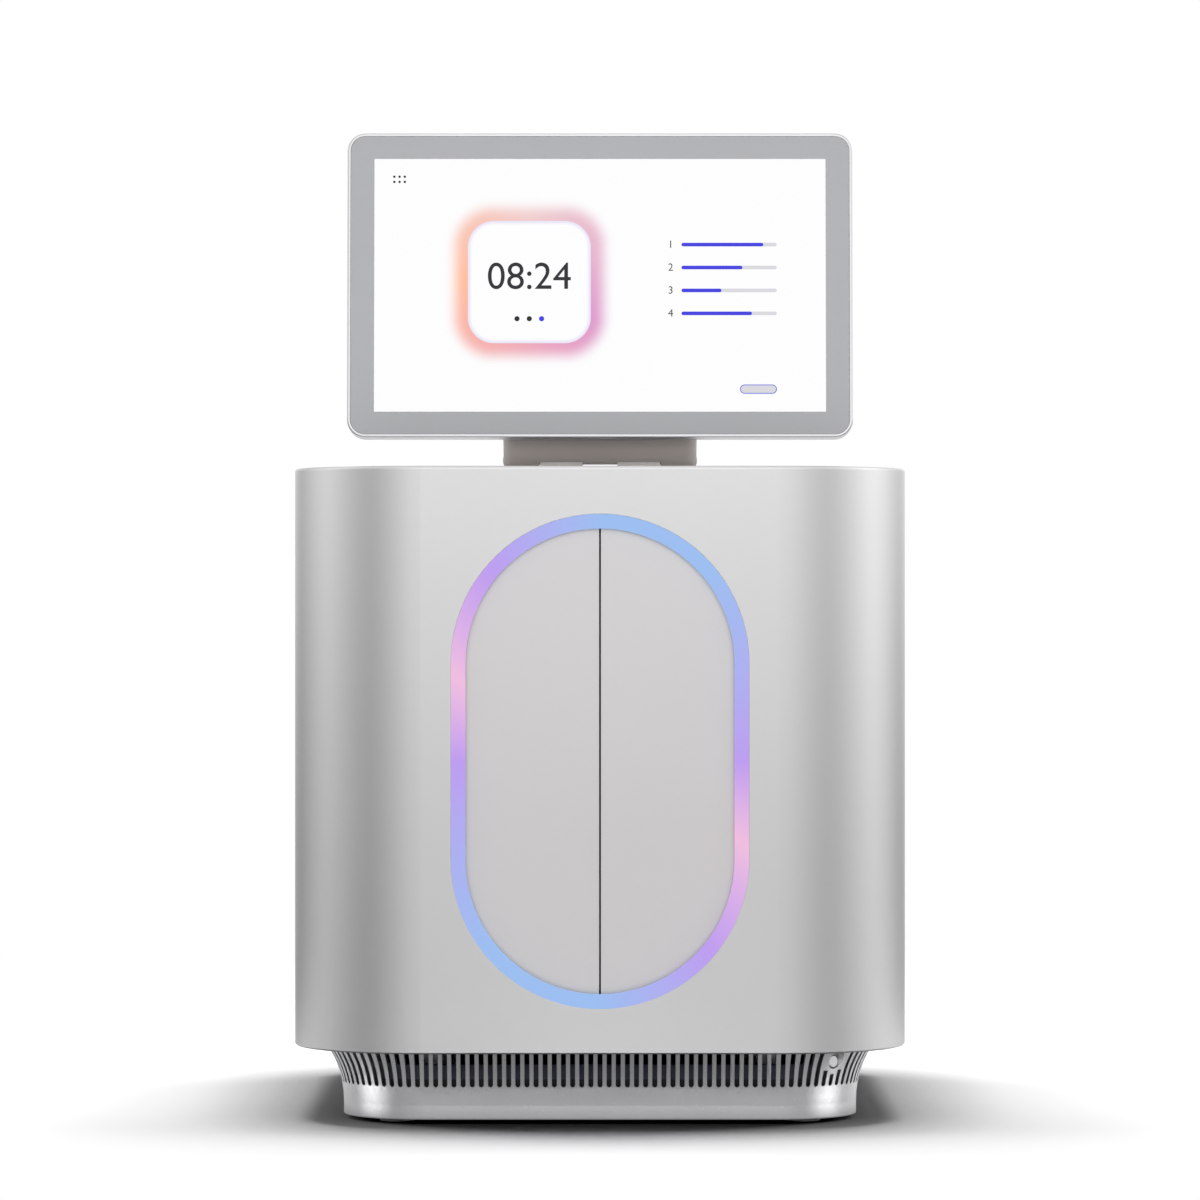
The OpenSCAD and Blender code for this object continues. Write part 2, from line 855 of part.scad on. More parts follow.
module fan_frame() {
    upright(back_y - casing_t - 25, back_y - casing_t)
        difference() {
            round_rect(fan_size, fan_size, 5);
            circle(fan_bore);
        }
    y0 = back_y - casing_t - 3;
    upright(y0, y0 + 3) {
        circle(14);
        for (a = [0, 90, 180, 270]) rotate(a + 45) translate([0, -2]) square([fan_bore + 1, 4]);
    }
    upright(y0 - 18, y0) circle(3);
}

module fan_frames() {
    color("#202020")
        for (side = [-1, 1]) translate([side * fan_x, 0, fan_z]) fan_frame();
}

module fan_rotor() {
    y0 = back_y - casing_t - 23;
    color("#181818")
        difference() {
            union() {
                upright(y0, y0 + 18.5) circle(15);
                for (n = [0:6])
                    rotate([0, n * 360 / 7, 0]) translate([0, y0 + 9, 12]) rotate([0, 0, 35])
                        translate([-9.5, -0.9, 0]) cube([19, 1.8, fan_bore - 14.5]);
            }
            upright(y0 + 1, y0 + 30) circle(3 + pin_fit);
        }
}

module left_fan_rotor() {
    translate([-fan_x, 0, fan_z]) fan_rotor();
}

module right_fan_rotor() {
    translate([fan_x, 0, fan_z]) fan_rotor();
}

// Opening of the connector recess, grown by g on every side
module connector_recess(y0, y1, g) {
    translate([0, 0, panel_z]) upright(y0, y1) round_rect(panel_size.x + 2 * g, panel_size.y + 2 * g, 5 + g);
}

// Sunk tray that carries the connectors
module connector_panel() {
    flange_y = back_y - casing_t;
    color("#505054")
        difference() {
            union() {
                connector_recess(panel_y - 2, flange_y, 2);
                connector_recess(flange_y - 2, flange_y, 8);
            }
            connector_recess(panel_y, back_y, 0);
            translate([inlet_x, 0, panel_z]) upright(panel_y - 3, panel_y + 1) square(inlet_size, center = true);
            translate([switch_x, 0, panel_z]) upright(panel_y - 3, panel_y + 1) square(switch_size, center = true);
            for (p = ports)
                translate([p.x, 0, panel_z]) upright(panel_y - 3, panel_y + 1)
                    square([p[1] + 1.2, p[2] + 1.2], center = true);
        }
}

module power_inlet() {
    socket = [24.2, 16.4];
    color("#202020")
        translate([inlet_x, 0, panel_z]) {
            difference() {
                union() {
                    upright(panel_y - 22, panel_y) square(inlet_size - [0.4, 0.4], center = true);
                    upright(panel_y, panel_y + 2) stadium(50, 23);
                }
                upright(panel_y - 16, panel_y + 3) square(socket, center = true);
            }
            for (p = [[-7, -2], [0, 2], [7, -2]])
                translate([p.x, 0, p.y]) upright(panel_y - 17, panel_y - 6) square([2, 4], center = true);
        }
}

rocker_r = 10;
rocker_y = panel_y - 5;
rocker_tilt = 8;

// Box behind the panel with the rocker's pivot pin across it
module switch_body() {
    color("#202020")
        translate([switch_x, 0, panel_z]) {
            difference() {
                upright(panel_y - 22, panel_y) square(switch_size - [0.4, 0.4], center = true);
                upright(panel_y - 18, panel_y + 1) square(switch_size - [2, 0.8], center = true);
            }
            translate([0, rocker_y, 0]) x_cylinder(1.5, -switch_size.x / 2 + 1, switch_size.x / 2 - 1);
        }
}

module rocker_switch() {
    half = switch_size.x / 2 - 1 - slide_fit;
    color("#282828")
        translate([switch_x, rocker_y, panel_z]) rotate([rocker_tilt, 0, 0])
            difference() {
                translate([-half, 0, 0]) rotate([90, 0, 90]) linear_extrude(2 * half) intersection() {
                    circle(rocker_r);
                    translate([-5, -7.5]) square([20, 15]);
                }
                x_cylinder(1.5 + pin_fit, -10, 10);
            }
}

// Socket shells behind the panel, each open to the rear
module data_ports() {
    color("#a0a0a0")
        for (p = ports)
            translate([p.x, 0, panel_z]) difference() {
                upright(panel_y - 16, panel_y + 0.5) square([p[1] + 1, p[2] + 1], center = true);
                upright(panel_y - 12, panel_y + 1) square([p[1], p[2]], center = true);
            }
}

// ---- Arm ----

module x_cylinder(r, x0, x1) {
    translate([x0, 0, 0]) rotate([0, 90, 0]) cylinder(r = r, h = x1 - x0);
}

module at_hinge() {
    translate([0, hinge_y, hinge_z]) children();
}

module arm_foot() {
    foot_t = 3;
    color("lightgray")
        difference() {
            union() {
                box([-knuckle_out, hinge_y + 12, top_z], [knuckle_out, hinge_y + 32, top_z + foot_t]);
                both_sides() {
                    box([knuckle_in, hinge_y - knuckle_r, top_z], [knuckle_out, hinge_y + 14, top_z + foot_t]);
                    box([knuckle_in, hinge_y - knuckle_r, top_z], [knuckle_out, hinge_y + knuckle_r, hinge_z]);
                    at_hinge() x_cylinder(knuckle_r, knuckle_in, knuckle_out);
                }
            }
            at_hinge() x_cylinder(pin_r + pin_fit, -arm_w, arm_w);
        }
}

module arm_pin() {
    color("silver") at_hinge() x_cylinder(pin_r, -arm_w / 2 + 12, arm_w / 2 - 12);
}

// The arm's own frame: +Z along the arm from the lower hinge axis to the tilt axis
module arm_frame() {
    at_hinge() rotate([arm_lean, 0, 0]) children();
}

// Hinge barrel with round ends
module barrel() {
    flat = arm_w / 2 - barrel_r + 0.5;
    rotate([0, 90, 0]) rotate_extrude() {
        translate([0, -flat]) square([barrel_r, 2 * flat]);
        for (s = [0, 1]) mirror([0, s]) translate([0, flat]) quarter(barrel_r);
    }
}

module arm() {
    color("#a09a96")
        difference() {
            arm_frame() {
                linear_extrude(arm_len) stadium(arm_w, arm_t);
                barrel();
                translate([0, 0, arm_len]) barrel();
            }
            at_hinge() x_cylinder(pin_r + pin_fit, -arm_w / 2 + 11, arm_w / 2 - 11);
            both_sides() at_hinge() x_cylinder(notch_r, knuckle_in - knuckle_gap, knuckle_out + knuckle_gap);
            at_hinge() box([-knuckle_in, -20, -20], [knuckle_in, 20, -2.8]);
            both_sides() at_hinge()
                box([knuckle_in - knuckle_gap, -20, -20], [knuckle_out + knuckle_gap, 0, -1.5]);
            arm_frame() translate([0, 0, arm_len]) {
                both_sides() x_cylinder(notch_r, ear_in - knuckle_gap, ear_out + knuckle_gap);
                x_cylinder(pin_r + pin_fit, -arm_w / 2 + 11, arm_w / 2 - 11);
            }
        }
}

module tilt_pin() {
    color("silver") arm_frame() translate([0, 0, arm_len]) x_cylinder(pin_r, -arm_w / 2 + 12, arm_w / 2 - 12);
}

// ---- Monitor ----

tilt_up = 4.2;
front_depth = 8;
bracket_t = 3;
back_edge_r = 6;

// The monitor's own frame: origin at the centre of the front glass, +Y into the monitor
module monitor_frame() {
    arm_frame() translate([0, 0, arm_len]) rotate([-arm_lean - monitor_tilt, 0, 0])
        translate([0, -monitor_t - tilt_arm, -tilt_up]) children();
}

// Profile swept round the monitor's outline; depths are negative
module round_monitor() {
    monitor_frame() rotate([90, 0, 0])
        sweep_rounded(monitor_w / 2 - monitor_r, monitor_h / 2 - monitor_r) children();
}

module tilt_bracket() {
    color("#808084")
        monitor_frame() difference() {
            union() {
                translate([0, 0, tilt_up]) upright(monitor_t + 0.1, monitor_t + bracket_t) round_rect(112, 62, 6);
                both_sides() {
                    box([ear_in, monitor_t + 0.5, tilt_up - 3], [ear_out, monitor_t + tilt_arm, tilt_up + knuckle_r]);
                    translate([0, monitor_t + tilt_arm, tilt_up]) x_cylinder(knuckle_r, ear_in, ear_out);
                }
            }
            translate([0, monitor_t + tilt_arm, tilt_up]) x_cylinder(pin_r + pin_fit, -80, 80);
        }
}

// Silver rim round the front glass, rounded along its front edge
module monitor_rim() {
    edge = 1;
    color("silver")
        round_monitor() {
            translate([monitor_r - rim_w, -front_depth + 0.1]) square([rim_w, front_depth - edge - 0.1]);
            translate([monitor_r - rim_w, -edge - 0.01]) square([rim_w - edge, edge + 0.01]);
            translate([monitor_r - edge, -edge]) quarter(edge);
        }
}

// Grey-bordered front glass, with the display's window
module monitor_front() {
    color("#a4a5a8")
        monitor_frame() upright(0.3, front_depth - 0.1) difference() {
            round_rect(monitor_w - 2 * rim_w - 0.2, monitor_h - 2 * rim_w - 0.2, monitor_r - rim_w - 0.1);
            square([display_w + 0.2, display_h + 0.2], center = true);
        }
}

module display_panel() {
    color("white")
        monitor_frame() upright(0.4, front_depth - 0.1) square([display_w, display_h], center = true);
}

// Hollow shell behind the front glass
module monitor_back() {
    inset = monitor_r - back_edge_r;
    wall = 2.5;
    color("#b8b8bc")
        difference() {
            union() {
                monitor_frame() upright(front_depth, monitor_t)
                    round_rect(monitor_w - 2 * back_edge_r + 1, monitor_h - 2 * back_edge_r + 1, inset + 0.5);
                round_monitor() {
                    translate([inset, back_edge_r - monitor_t])
                        square([back_edge_r, monitor_t - back_edge_r - front_depth]);
                    translate([inset, back_edge_r - monitor_t]) mirror([0, 1]) quarter(back_edge_r);
                }
            }
            monitor_frame() upright(front_depth - 1, monitor_t - wall)
                round_rect(monitor_w - 4 * wall, monitor_h - 4 * wall, inset);
        }
}

casing();
rear_cover();
top_cover();
floor_pan();
posts();
shelf();
base_skirt();
base_plate();
base_pillars();
feet();
filter_carrier();
air_filter();
button_well();
power_button();
light_ring();
ring_board();
left_leaf();
right_leaf();
seam_seal();
upper_track();
lower_track();
left_hanger();
right_hanger();
drive_belt();
drive_pulley();
idler_pulley();
left_clamp();
right_clamp();
door_motor();
bay_liner();
upper_nest();
lower_nest();
stage_base();
stage_rails();
stage_carriage();
optics_bridge();
optics_module();
objective();
syringe_pump();
plunger();
main_board();
heat_sink();
power_supply();
fan_frames();
left_fan_rotor();
right_fan_rotor();
connector_panel();
power_inlet();
switch_body();
rocker_switch();
data_ports();
arm_foot();
arm_pin();
arm();
tilt_pin();
tilt_bracket();
monitor_back();
monitor_rim();
monitor_front();
display_panel();
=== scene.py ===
"""Benchtop sequencer: finishes, lit display, light ring, small fittings, studio and camera."""

import json
import logging
import math
from dataclasses import dataclass
from enum import Enum
from typing import Any, Iterable, Sequence

import bmesh
import bpy
from mathutils import Matrix, Vector


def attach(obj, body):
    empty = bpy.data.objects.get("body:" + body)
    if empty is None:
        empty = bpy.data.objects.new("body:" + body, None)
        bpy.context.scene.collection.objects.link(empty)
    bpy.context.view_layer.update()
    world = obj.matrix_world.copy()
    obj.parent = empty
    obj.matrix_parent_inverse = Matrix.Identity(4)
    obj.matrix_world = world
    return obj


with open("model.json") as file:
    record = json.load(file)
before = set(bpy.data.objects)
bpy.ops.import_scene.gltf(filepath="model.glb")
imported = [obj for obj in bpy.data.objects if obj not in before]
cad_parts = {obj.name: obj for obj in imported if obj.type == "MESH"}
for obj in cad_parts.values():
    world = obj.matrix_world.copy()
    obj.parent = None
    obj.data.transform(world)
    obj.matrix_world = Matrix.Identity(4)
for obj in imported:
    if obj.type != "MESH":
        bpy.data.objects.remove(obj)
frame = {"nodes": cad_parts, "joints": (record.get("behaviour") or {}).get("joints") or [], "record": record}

LOG = logging.getLogger("sequencer")
MM = 0.001

Point = tuple[float, float, float]
Flat = tuple[float, float]
Polygon = list[Flat]


class Hue(Enum):
    """Colours of the light ring's lamps, as sRGB hex values."""

    BLUE = "#99BBEE"
    VIOLET = "#BB99EE"
    PINK = "#EEBBDD"


class Body(Enum):
    """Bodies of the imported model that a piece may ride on."""

    INSTRUMENT = "instrument"
    MONITOR = "monitor"


def linear(hex_colour: str) -> tuple[float, float, float, float]:
    """Turns an sRGB hex colour into linear RGBA.

    Args:
        hex_colour: Colour such as "#C0C0C0".

    Returns:
        The four linear channels, opaque.
    """
    channels = [int(hex_colour[i : i + 2], 16) / 255 for i in (1, 3, 5)]
    return tuple(c / 12.92 if c <= 0.04045 else ((c + 0.055) / 1.055) ** 2.4 for c in channels) + (1.0,)


def add_node(
    tree: bpy.types.NodeTree, kind: str, inputs: dict[Any, Any] | None = None, **settings: Any
) -> bpy.types.Node:
    """Adds a node, with its settings and what feeds its sockets.

    Args:
        tree: Node tree that takes the node.
        kind: Blender's name for the node's type.
        inputs: Socket name or number, to a value or to an output socket.
        settings: Attributes of the node.

    Returns:
        The new node.
    """
    node = tree.nodes.new(kind)
    for key, value in settings.items():
        setattr(node, key, value)
    for key, value in (inputs or {}).items():
        if isinstance(value, bpy.types.NodeSocket):
            tree.links.new(value, node.inputs[key])
        else:
            node.inputs[key].default_value = value
    return node


def fill_ramp(node: bpy.types.Node, stops: Sequence[tuple[float, str]]) -> None:
    """Gives a colour ramp its stops.

    Args:
        node: The ramp.
        stops: Position from 0 to 1 and hex colour, in order.
    """
    ramp = node.color_ramp
    while len(ramp.elements) > 1:
        ramp.elements.remove(ramp.elements[-1])
    ramp.elements[0].position = stops[0][0]
    ramp.elements[0].color = linear(stops[0][1])
    for position, colour in stops[1:]:
        ramp.elements.new(position).color = linear(colour)


def share_of_turn(
    tree: bpy.types.NodeTree, across: bpy.types.NodeSocket, along: bpy.types.NodeSocket
) -> bpy.types.NodeSocket:
    """How far round a turn a place lies.

    Args:
        tree: Node tree that takes the nodes.
        across: Distance to the right.
        along: Distance in the direction the turn starts from.

    Returns:
        The share of a turn, from 0 to 1, clockwise.
    """
    angle = add_node(tree, "ShaderNodeMath", {0: across, 1: along}, operation="ARCTAN2")
    turn = add_node(tree, "ShaderNodeMath", {0: angle.outputs[0], 1: 2 * math.pi}, operation="DIVIDE")
    return add_node(tree, "ShaderNodeMath", {0: turn.outputs[0]}, operation="FRACT").outputs[0]


def new_material(name: str) -> tuple[bpy.types.Material, bpy.types.NodeTree, bpy.types.Node]:
    """Starts a node material.

    Args:
        name: Name of the finish.

    Returns:
        The material, its emptied node tree and its output node.
    """
    material = bpy.data.materials.new(name)
    material.use_nodes = True
    tree = material.node_tree
    tree.nodes.clear()
    return material, tree, add_node(tree, "ShaderNodeOutputMaterial")


def dress(material: bpy.types.Material, nodes: Iterable[str]) -> None:
    """Gives CAD nodes a material.

    Args:
        material: The finish.
        nodes: Names of the CAD nodes.
    """
    for name in nodes:
        obj = frame["nodes"][name]
        if obj.material_slots:
            for material_slot in obj.material_slots:
                material_slot.material = material
        else:
            obj.data.materials.append(material)


# ---- Finishes ----


@dataclass(frozen=True)
class Surface:
    """A solid finish with fine colour, roughness and relief variation."""

    name: str
    colour: str
    second: str
    metallic: float = 0.0
    roughness: float = 0.4
    roughness_spread: float = 0.05
    grain_mm: float = 1.2
    relief_mm: float = 0.01
    cloud_mm: float = 60.0
    edge_mm: float = 0.4
    coat: float = 0.0
    stretch: Point = (1.0, 1.0, 1.0)

    def build(self) -> bpy.types.Material:
        """Makes the material: clouds tint the colour, and grain varies gloss and relief."""
        material, tree, out = new_material(self.name)
        place = add_node(tree, "ShaderNodeTexCoord").outputs["Object"]
        stretched = add_node(
            tree, "ShaderNodeMapping", {"Vector": place, "Scale": self.stretch}
        ).outputs["Vector"]
        clouds = add_node(
            tree, "ShaderNodeTexNoise", {"Vector": place, "Scale": 1 / (self.cloud_mm * MM), "Detail": 3.0}
        )
        grain = add_node(
            tree,
            "ShaderNodeTexNoise",
            {"Vector": stretched, "Scale": 1 / (self.grain_mm * MM), "Detail": 4.0},
        )
        tint = add_node(
            tree,
            "ShaderNodeMix",
            {0: clouds.outputs["Fac"], 6: linear(self.colour), 7: linear(self.second)},
            data_type="RGBA",
        )
        gloss = add_node(
            tree,
            "ShaderNodeMapRange",
            {
                "Value": grain.outputs["Fac"],
                "From Min": 0.3,
                "From Max": 0.7,
                "To Min": self.roughness - self.roughness_spread,
                "To Max": self.roughness + self.roughness_spread,
            },
        )
        soft = add_node(tree, "ShaderNodeBevel", {"Radius": self.edge_mm * MM}, samples=4)
        relief = add_node(
            tree,
            "ShaderNodeBump",
            {
                "Height": grain.outputs["Fac"],
                "Distance": self.relief_mm * MM,
                "Strength": 0.5,
                "Normal": soft.outputs["Normal"],
            },
        )
        shader = add_node(
            tree,
            "ShaderNodeBsdfPrincipled",
            {
                "Base Color": tint.outputs[2],
                "Metallic": self.metallic,
                "Roughness": gloss.outputs["Result"],
                "Normal": relief.outputs["Normal"],
                "Coat Weight": self.coat,
                "Coat Roughness": 0.08,
            },
        )
        tree.links.new(shader.outputs[0], out.inputs["Surface"])
        return material


# Anodised aluminium, blasted with fine beads: a soft sheen, broad highlights, no lines.
# Real bead grain is about 0.2 mm; it is drawn at 1.4 mm so that it just shows.
CASING_METAL = Surface(
    "anodised_blasted_aluminium", "#D3D2D3", "#CFCFD0", 1.0, 0.33, 0.03, 1.4, 0.006, 90.0, 0.5
)
# The same metal on the base, a little darker and tighter in its sheen.
BASE_METAL = Surface(
    "anodised_blasted_aluminium_base", "#CECECF", "#C8C8CA", 1.0, 0.30, 0.03, 1.2, 0.006, 60.0, 0.4
)
# Satin lacquer on aluminium sheet: the door leaves, flatter and calmer than the casing.
LEAF_LACQUER = Surface(
    "satin_lacquered_aluminium", "#CFCDCE", "#CBC9CA", 0.85, 0.42, 0.03, 1.4, 0.004, 120.0, 0.5
)
# Painted die-cast aluminium with a warm grey tone: arm and its hinges.
ARM_CAST = Surface("painted_die_cast_aluminium", "#B4ACA7", "#AFA7A2", 0.15, 0.5, 0.04, 0.8, 0.008, 40.0, 0.6)
HINGE_CAST = Surface("satin_die_cast_aluminium", "#C9C5C2", "#C3BFBC", 0.8, 0.34, 0.04, 0.8, 0.006, 30.0, 0.4)
# Polished anodised rim of the monitor: glossier than the casing, and a shade darker.
RIM_METAL = Surface(
    "polished_anodised_aluminium", "#CBCBCD", "#C6C6C8", 1.0, 0.2, 0.03, 0.8, 0.003, 40.0, 0.3
)
SHELL_METAL = Surface("painted_aluminium_shell", "#C9CACC", "#C3C4C6", 0.8, 0.38, 0.04, 1.0, 0.006, 60.0, 0.5)
# Powder coat: fine orange peel, deep grey.
POWDER_COAT = Surface("black_powder_coat", "#3A3B3D", "#343537", 0.0, 0.55, 0.08, 0.9, 0.05, 30.0, 0.4)
WHITE_ENAMEL = Surface("white_enamelled_steel", "#ECECEA", "#E4E4E3", 0.0, 0.35, 0.05, 1.5, 0.01, 60.0, 0.4)
ZINC_STEEL = Surface("zinc_plated_steel", "#BFC1C2", "#A9ABAF", 1.0, 0.32, 0.08, 6.0, 0.004, 12.0, 0.3)
MILLED = Surface(
    "milled_aluminium", "#D2D3D5", "#C6C7CA", 1.0, 0.28, 0.08, 0.6, 0.01, 25.0, 0.3, stretch=(0.08, 1.0, 1.0)
)
GROUND_STEEL = Surface("ground_steel", "#C9CACB", "#BEBFC1", 1.0, 0.18, 0.05, 0.5, 0.003, 20.0, 0.2)
# Moulded ABS, spark-eroded texture.
BLACK_ABS = Surface("moulded_black_abs", "#232426", "#1E1F21", 0.0, 0.5, 0.07, 0.7, 0.03, 20.0, 0.3)
GREY_ABS = Surface("moulded_grey_abs", "#AEB8C6", "#A6B0BF", 0.0, 0.45, 0.06, 0.7, 0.02, 20.0, 0.4)
PUMP_ABS = Surface("moulded_ivory_abs", "#DADBDD", "#D2D3D6", 0.0, 0.42, 0.05, 0.7, 0.02, 20.0, 0.4)
OPTICS_BLACK = Surface("black_anodised_aluminium", "#2A2B2E", "#232427", 0.6, 0.4, 0.05, 0.5, 0.01, 20.0, 0.4)
FOOT_RUBBER = Surface("moulded_grey_rubber", "#D9DADD", "#CDCED2", 0.0, 0.6, 0.06, 0.6, 0.02, 10.0, 0.3)
SEAL_RUBBER = Surface("black_epdm_rubber", "#141415", "#101011", 0.0, 0.7, 0.05, 0.6, 0.03, 10.0, 0.2)
# Open filter foam: blue-grey, rough, with pores drawn at 1.5 mm.
FILTER_FOAM = Surface("reticulated_filter_foam", "#5A5F6B", "#454A54", 0.0, 0.9, 0.05, 1.5, 0.5, 4.0, 0.2)
BOARD = Surface(
    "solder_mask_on_fibreglass", "#1E5A3C", "#1A5036", 0.0, 0.3, 0.05, 1.5, 0.01, 15.0, 0.2, coat=0.4
)
BUTTON_METAL = Surface(
    "turned_aluminium_button", "#DCDCDD", "#D4D4D6", 1.0, 0.22, 0.04, 0.4, 0.004, 10.0, 0.3
)
# Cover glass with a grey print behind it.
BEZEL_GLASS = Surface(
    "back_printed_cover_glass", "#A9AAAD", "#A6A7AA", 0.0, 0.32, 0.02, 1.0, 0.0, 80.0, 0.3, coat=0.25
)

SLOT_FINISHES: dict[str, Surface] = {
    "silver_casing": CASING_METAL,
    "silver_base": BASE_METAL,
    "dark_steel": POWDER_COAT,
    "frame_steel": ZINC_STEEL,
    "foot_rubber": FOOT_RUBBER,
    "seal_rubber": SEAL_RUBBER,
    "filter_foam": FILTER_FOAM,
    "black_plastic": BLACK_ABS,
    "button_metal": BUTTON_METAL,
    "circuit_board": BOARD,
    "leaf_metal": LEAF_LACQUER,
    "machined_aluminium": MILLED,
    "bay_white": WHITE_ENAMEL,
    "nest_plastic": GREY_ABS,
    "optics_black": OPTICS_BLACK,
    "steel_pin": GROUND_STEEL,
    "pump_plastic": PUMP_ABS,
    "supply_steel": ZINC_STEEL,
    "hinge_metal": HINGE_CAST,
    "arm_metal": ARM_CAST,
    "bracket_metal": POWDER_COAT,
    "monitor_silver": SHELL_METAL,
    "bezel_glass": BEZEL_GLASS,
}


def dress_slots() -> dict[str, bpy.types.Material]:
    """Builds each slot's finish once and puts it on the slot's CAD nodes.

    Returns:
        The material of each slot.
    """
    built: dict[str, bpy.types.Material] = {}
    for slot_name, surface in SLOT_FINISHES.items():
        built[slot_name] = surface.build()
        members = [p["node"] for p in frame["record"]["subparts"] if p["material_slot"] == slot_name]
        dress(built[slot_name], members)
        LOG.info("finish %s on %d nodes", surface.name, len(members))
    return built


# ---- Mesh helpers ----


def mesh_object(name: str, mesh: bpy.types.Mesh, material: bpy.types.Material) -> bpy.types.Object:
    """Links a mesh as an object with one material.

    Args:
        name: Name of the piece.
        mesh: Its mesh, in place, in metres.
        material: Its finish.

    Returns:
        The new object.
    """
    obj = bpy.data.objects.new(name, mesh)
    obj.data.materials.append(material)
    bpy.context.scene.collection.objects.link(obj)
    return obj


def rounded_rect(
    width: float, height: float, radius: float, at: Flat = (0.0, 0.0), steps: int = 10
) -> Polygon:
    """Outline of a rounded rectangle.

    Args:
        width: Full width.
        height: Full height.
        radius: Corner radius.
        at: Centre.
        steps: Segments in each corner.

    Returns:
        Points, anticlockwise.
    """
    points = []
    for quarter in range(4):
        sign_x = 1 if quarter in (0, 3) else -1
        sign_y = 1 if quarter in (0, 1) else -1
        corner = (at[0] + sign_x * (width / 2 - radius), at[1] + sign_y * (height / 2 - radius))
        for step in range(steps + 1):
            angle = math.radians(90 * (quarter + step / steps))
            points.append((corner[0] + radius * math.cos(angle), corner[1] + radius * math.sin(angle)))
    return points


def plate_mesh(name: str, outlines: Sequence[Polygon], thickness: float, place: Matrix) -> bpy.types.Mesh:
    """Thin closed plates of the given outlines, drawn in the XZ plane and thickened towards -Y.

    Args:
        name: Name of the mesh.
        outlines: One closed outline for each plate.
        thickness: How far the front stands before the plane.
        place: Where the plane goes.

    Returns:
        The mesh.
    """
    bm = bmesh.new()
    for outline in outlines:
        back = [bm.verts.new((x, 0.0, z)) for x, z in outline]
        front = [bm.verts.new((x, -thickness, z)) for x, z in outline]
        bm.faces.new(front)
        bm.faces.new(list(reversed(back)))
        for i, _ in enumerate(outline):
            j = (i + 1) % len(outline)
            bm.faces.new((front[i], back[i], back[j], front[j]))
    bmesh.ops.recalc_face_normals(bm, faces=bm.faces)
    bm.transform(place)
    mesh = bpy.data.meshes.new(name)
    bm.to_mesh(mesh)
    bm.free()
    return mesh


# ---- Sub-assemblies ----


@dataclass
class LightRing:
    """Milky diffuser with coloured lamps behind it."""

    centre_z: float = 235.6 * MM
    half_turn: tuple[tuple[float, Hue], ...] = (
        (0, Hue.BLUE),
        (30, Hue.BLUE),
        (90, Hue.VIOLET),
        (120, Hue.PINK),
        (150, Hue.VIOLET),
    )

    def material(self) -> bpy.types.Material:
        """Opal acrylic lit from behind: even, soft light whose hue drifts round the ring."""
        material, tree, out = new_material("lit_opal_acrylic")
        place = add_node(tree, "ShaderNodeTexCoord").outputs["Object"]
        axes = add_node(tree, "ShaderNodeSeparateXYZ", {"Vector": place})
        height = add_node(
            tree, "ShaderNodeMath", {0: axes.outputs["Z"], 1: self.centre_z}, operation="SUBTRACT"
        )
        share = share_of_turn(tree, axes.outputs["X"], height.outputs[0])
        ramp = add_node(tree, "ShaderNodeValToRGB", {"Fac": share})
        twice = [
            ((turned + degrees) / 360, hue.value)
            for turned in (0, 180)
            for degrees, hue in self.half_turn
        ]
        fill_ramp(ramp, [*twice, (1.0, self.half_turn[0][1].value)])
        shader = add_node(
            tree,
            "ShaderNodeBsdfPrincipled",
            {
                "Base Color": linear("#101014"),
                "Roughness": 0.4,
                "Specular IOR Level": 0.2,
                "Emission Color": ramp.outputs["Color"],
                "Emission Strength": 1.0,
            },
        )
        tree.links.new(shader.outputs[0], out.inputs["Surface"])
        return material

    def build(self) -> None:
        """Lights the ring."""
        dress(self.material(), ["light_ring"])
        LOG.info("light ring lit")


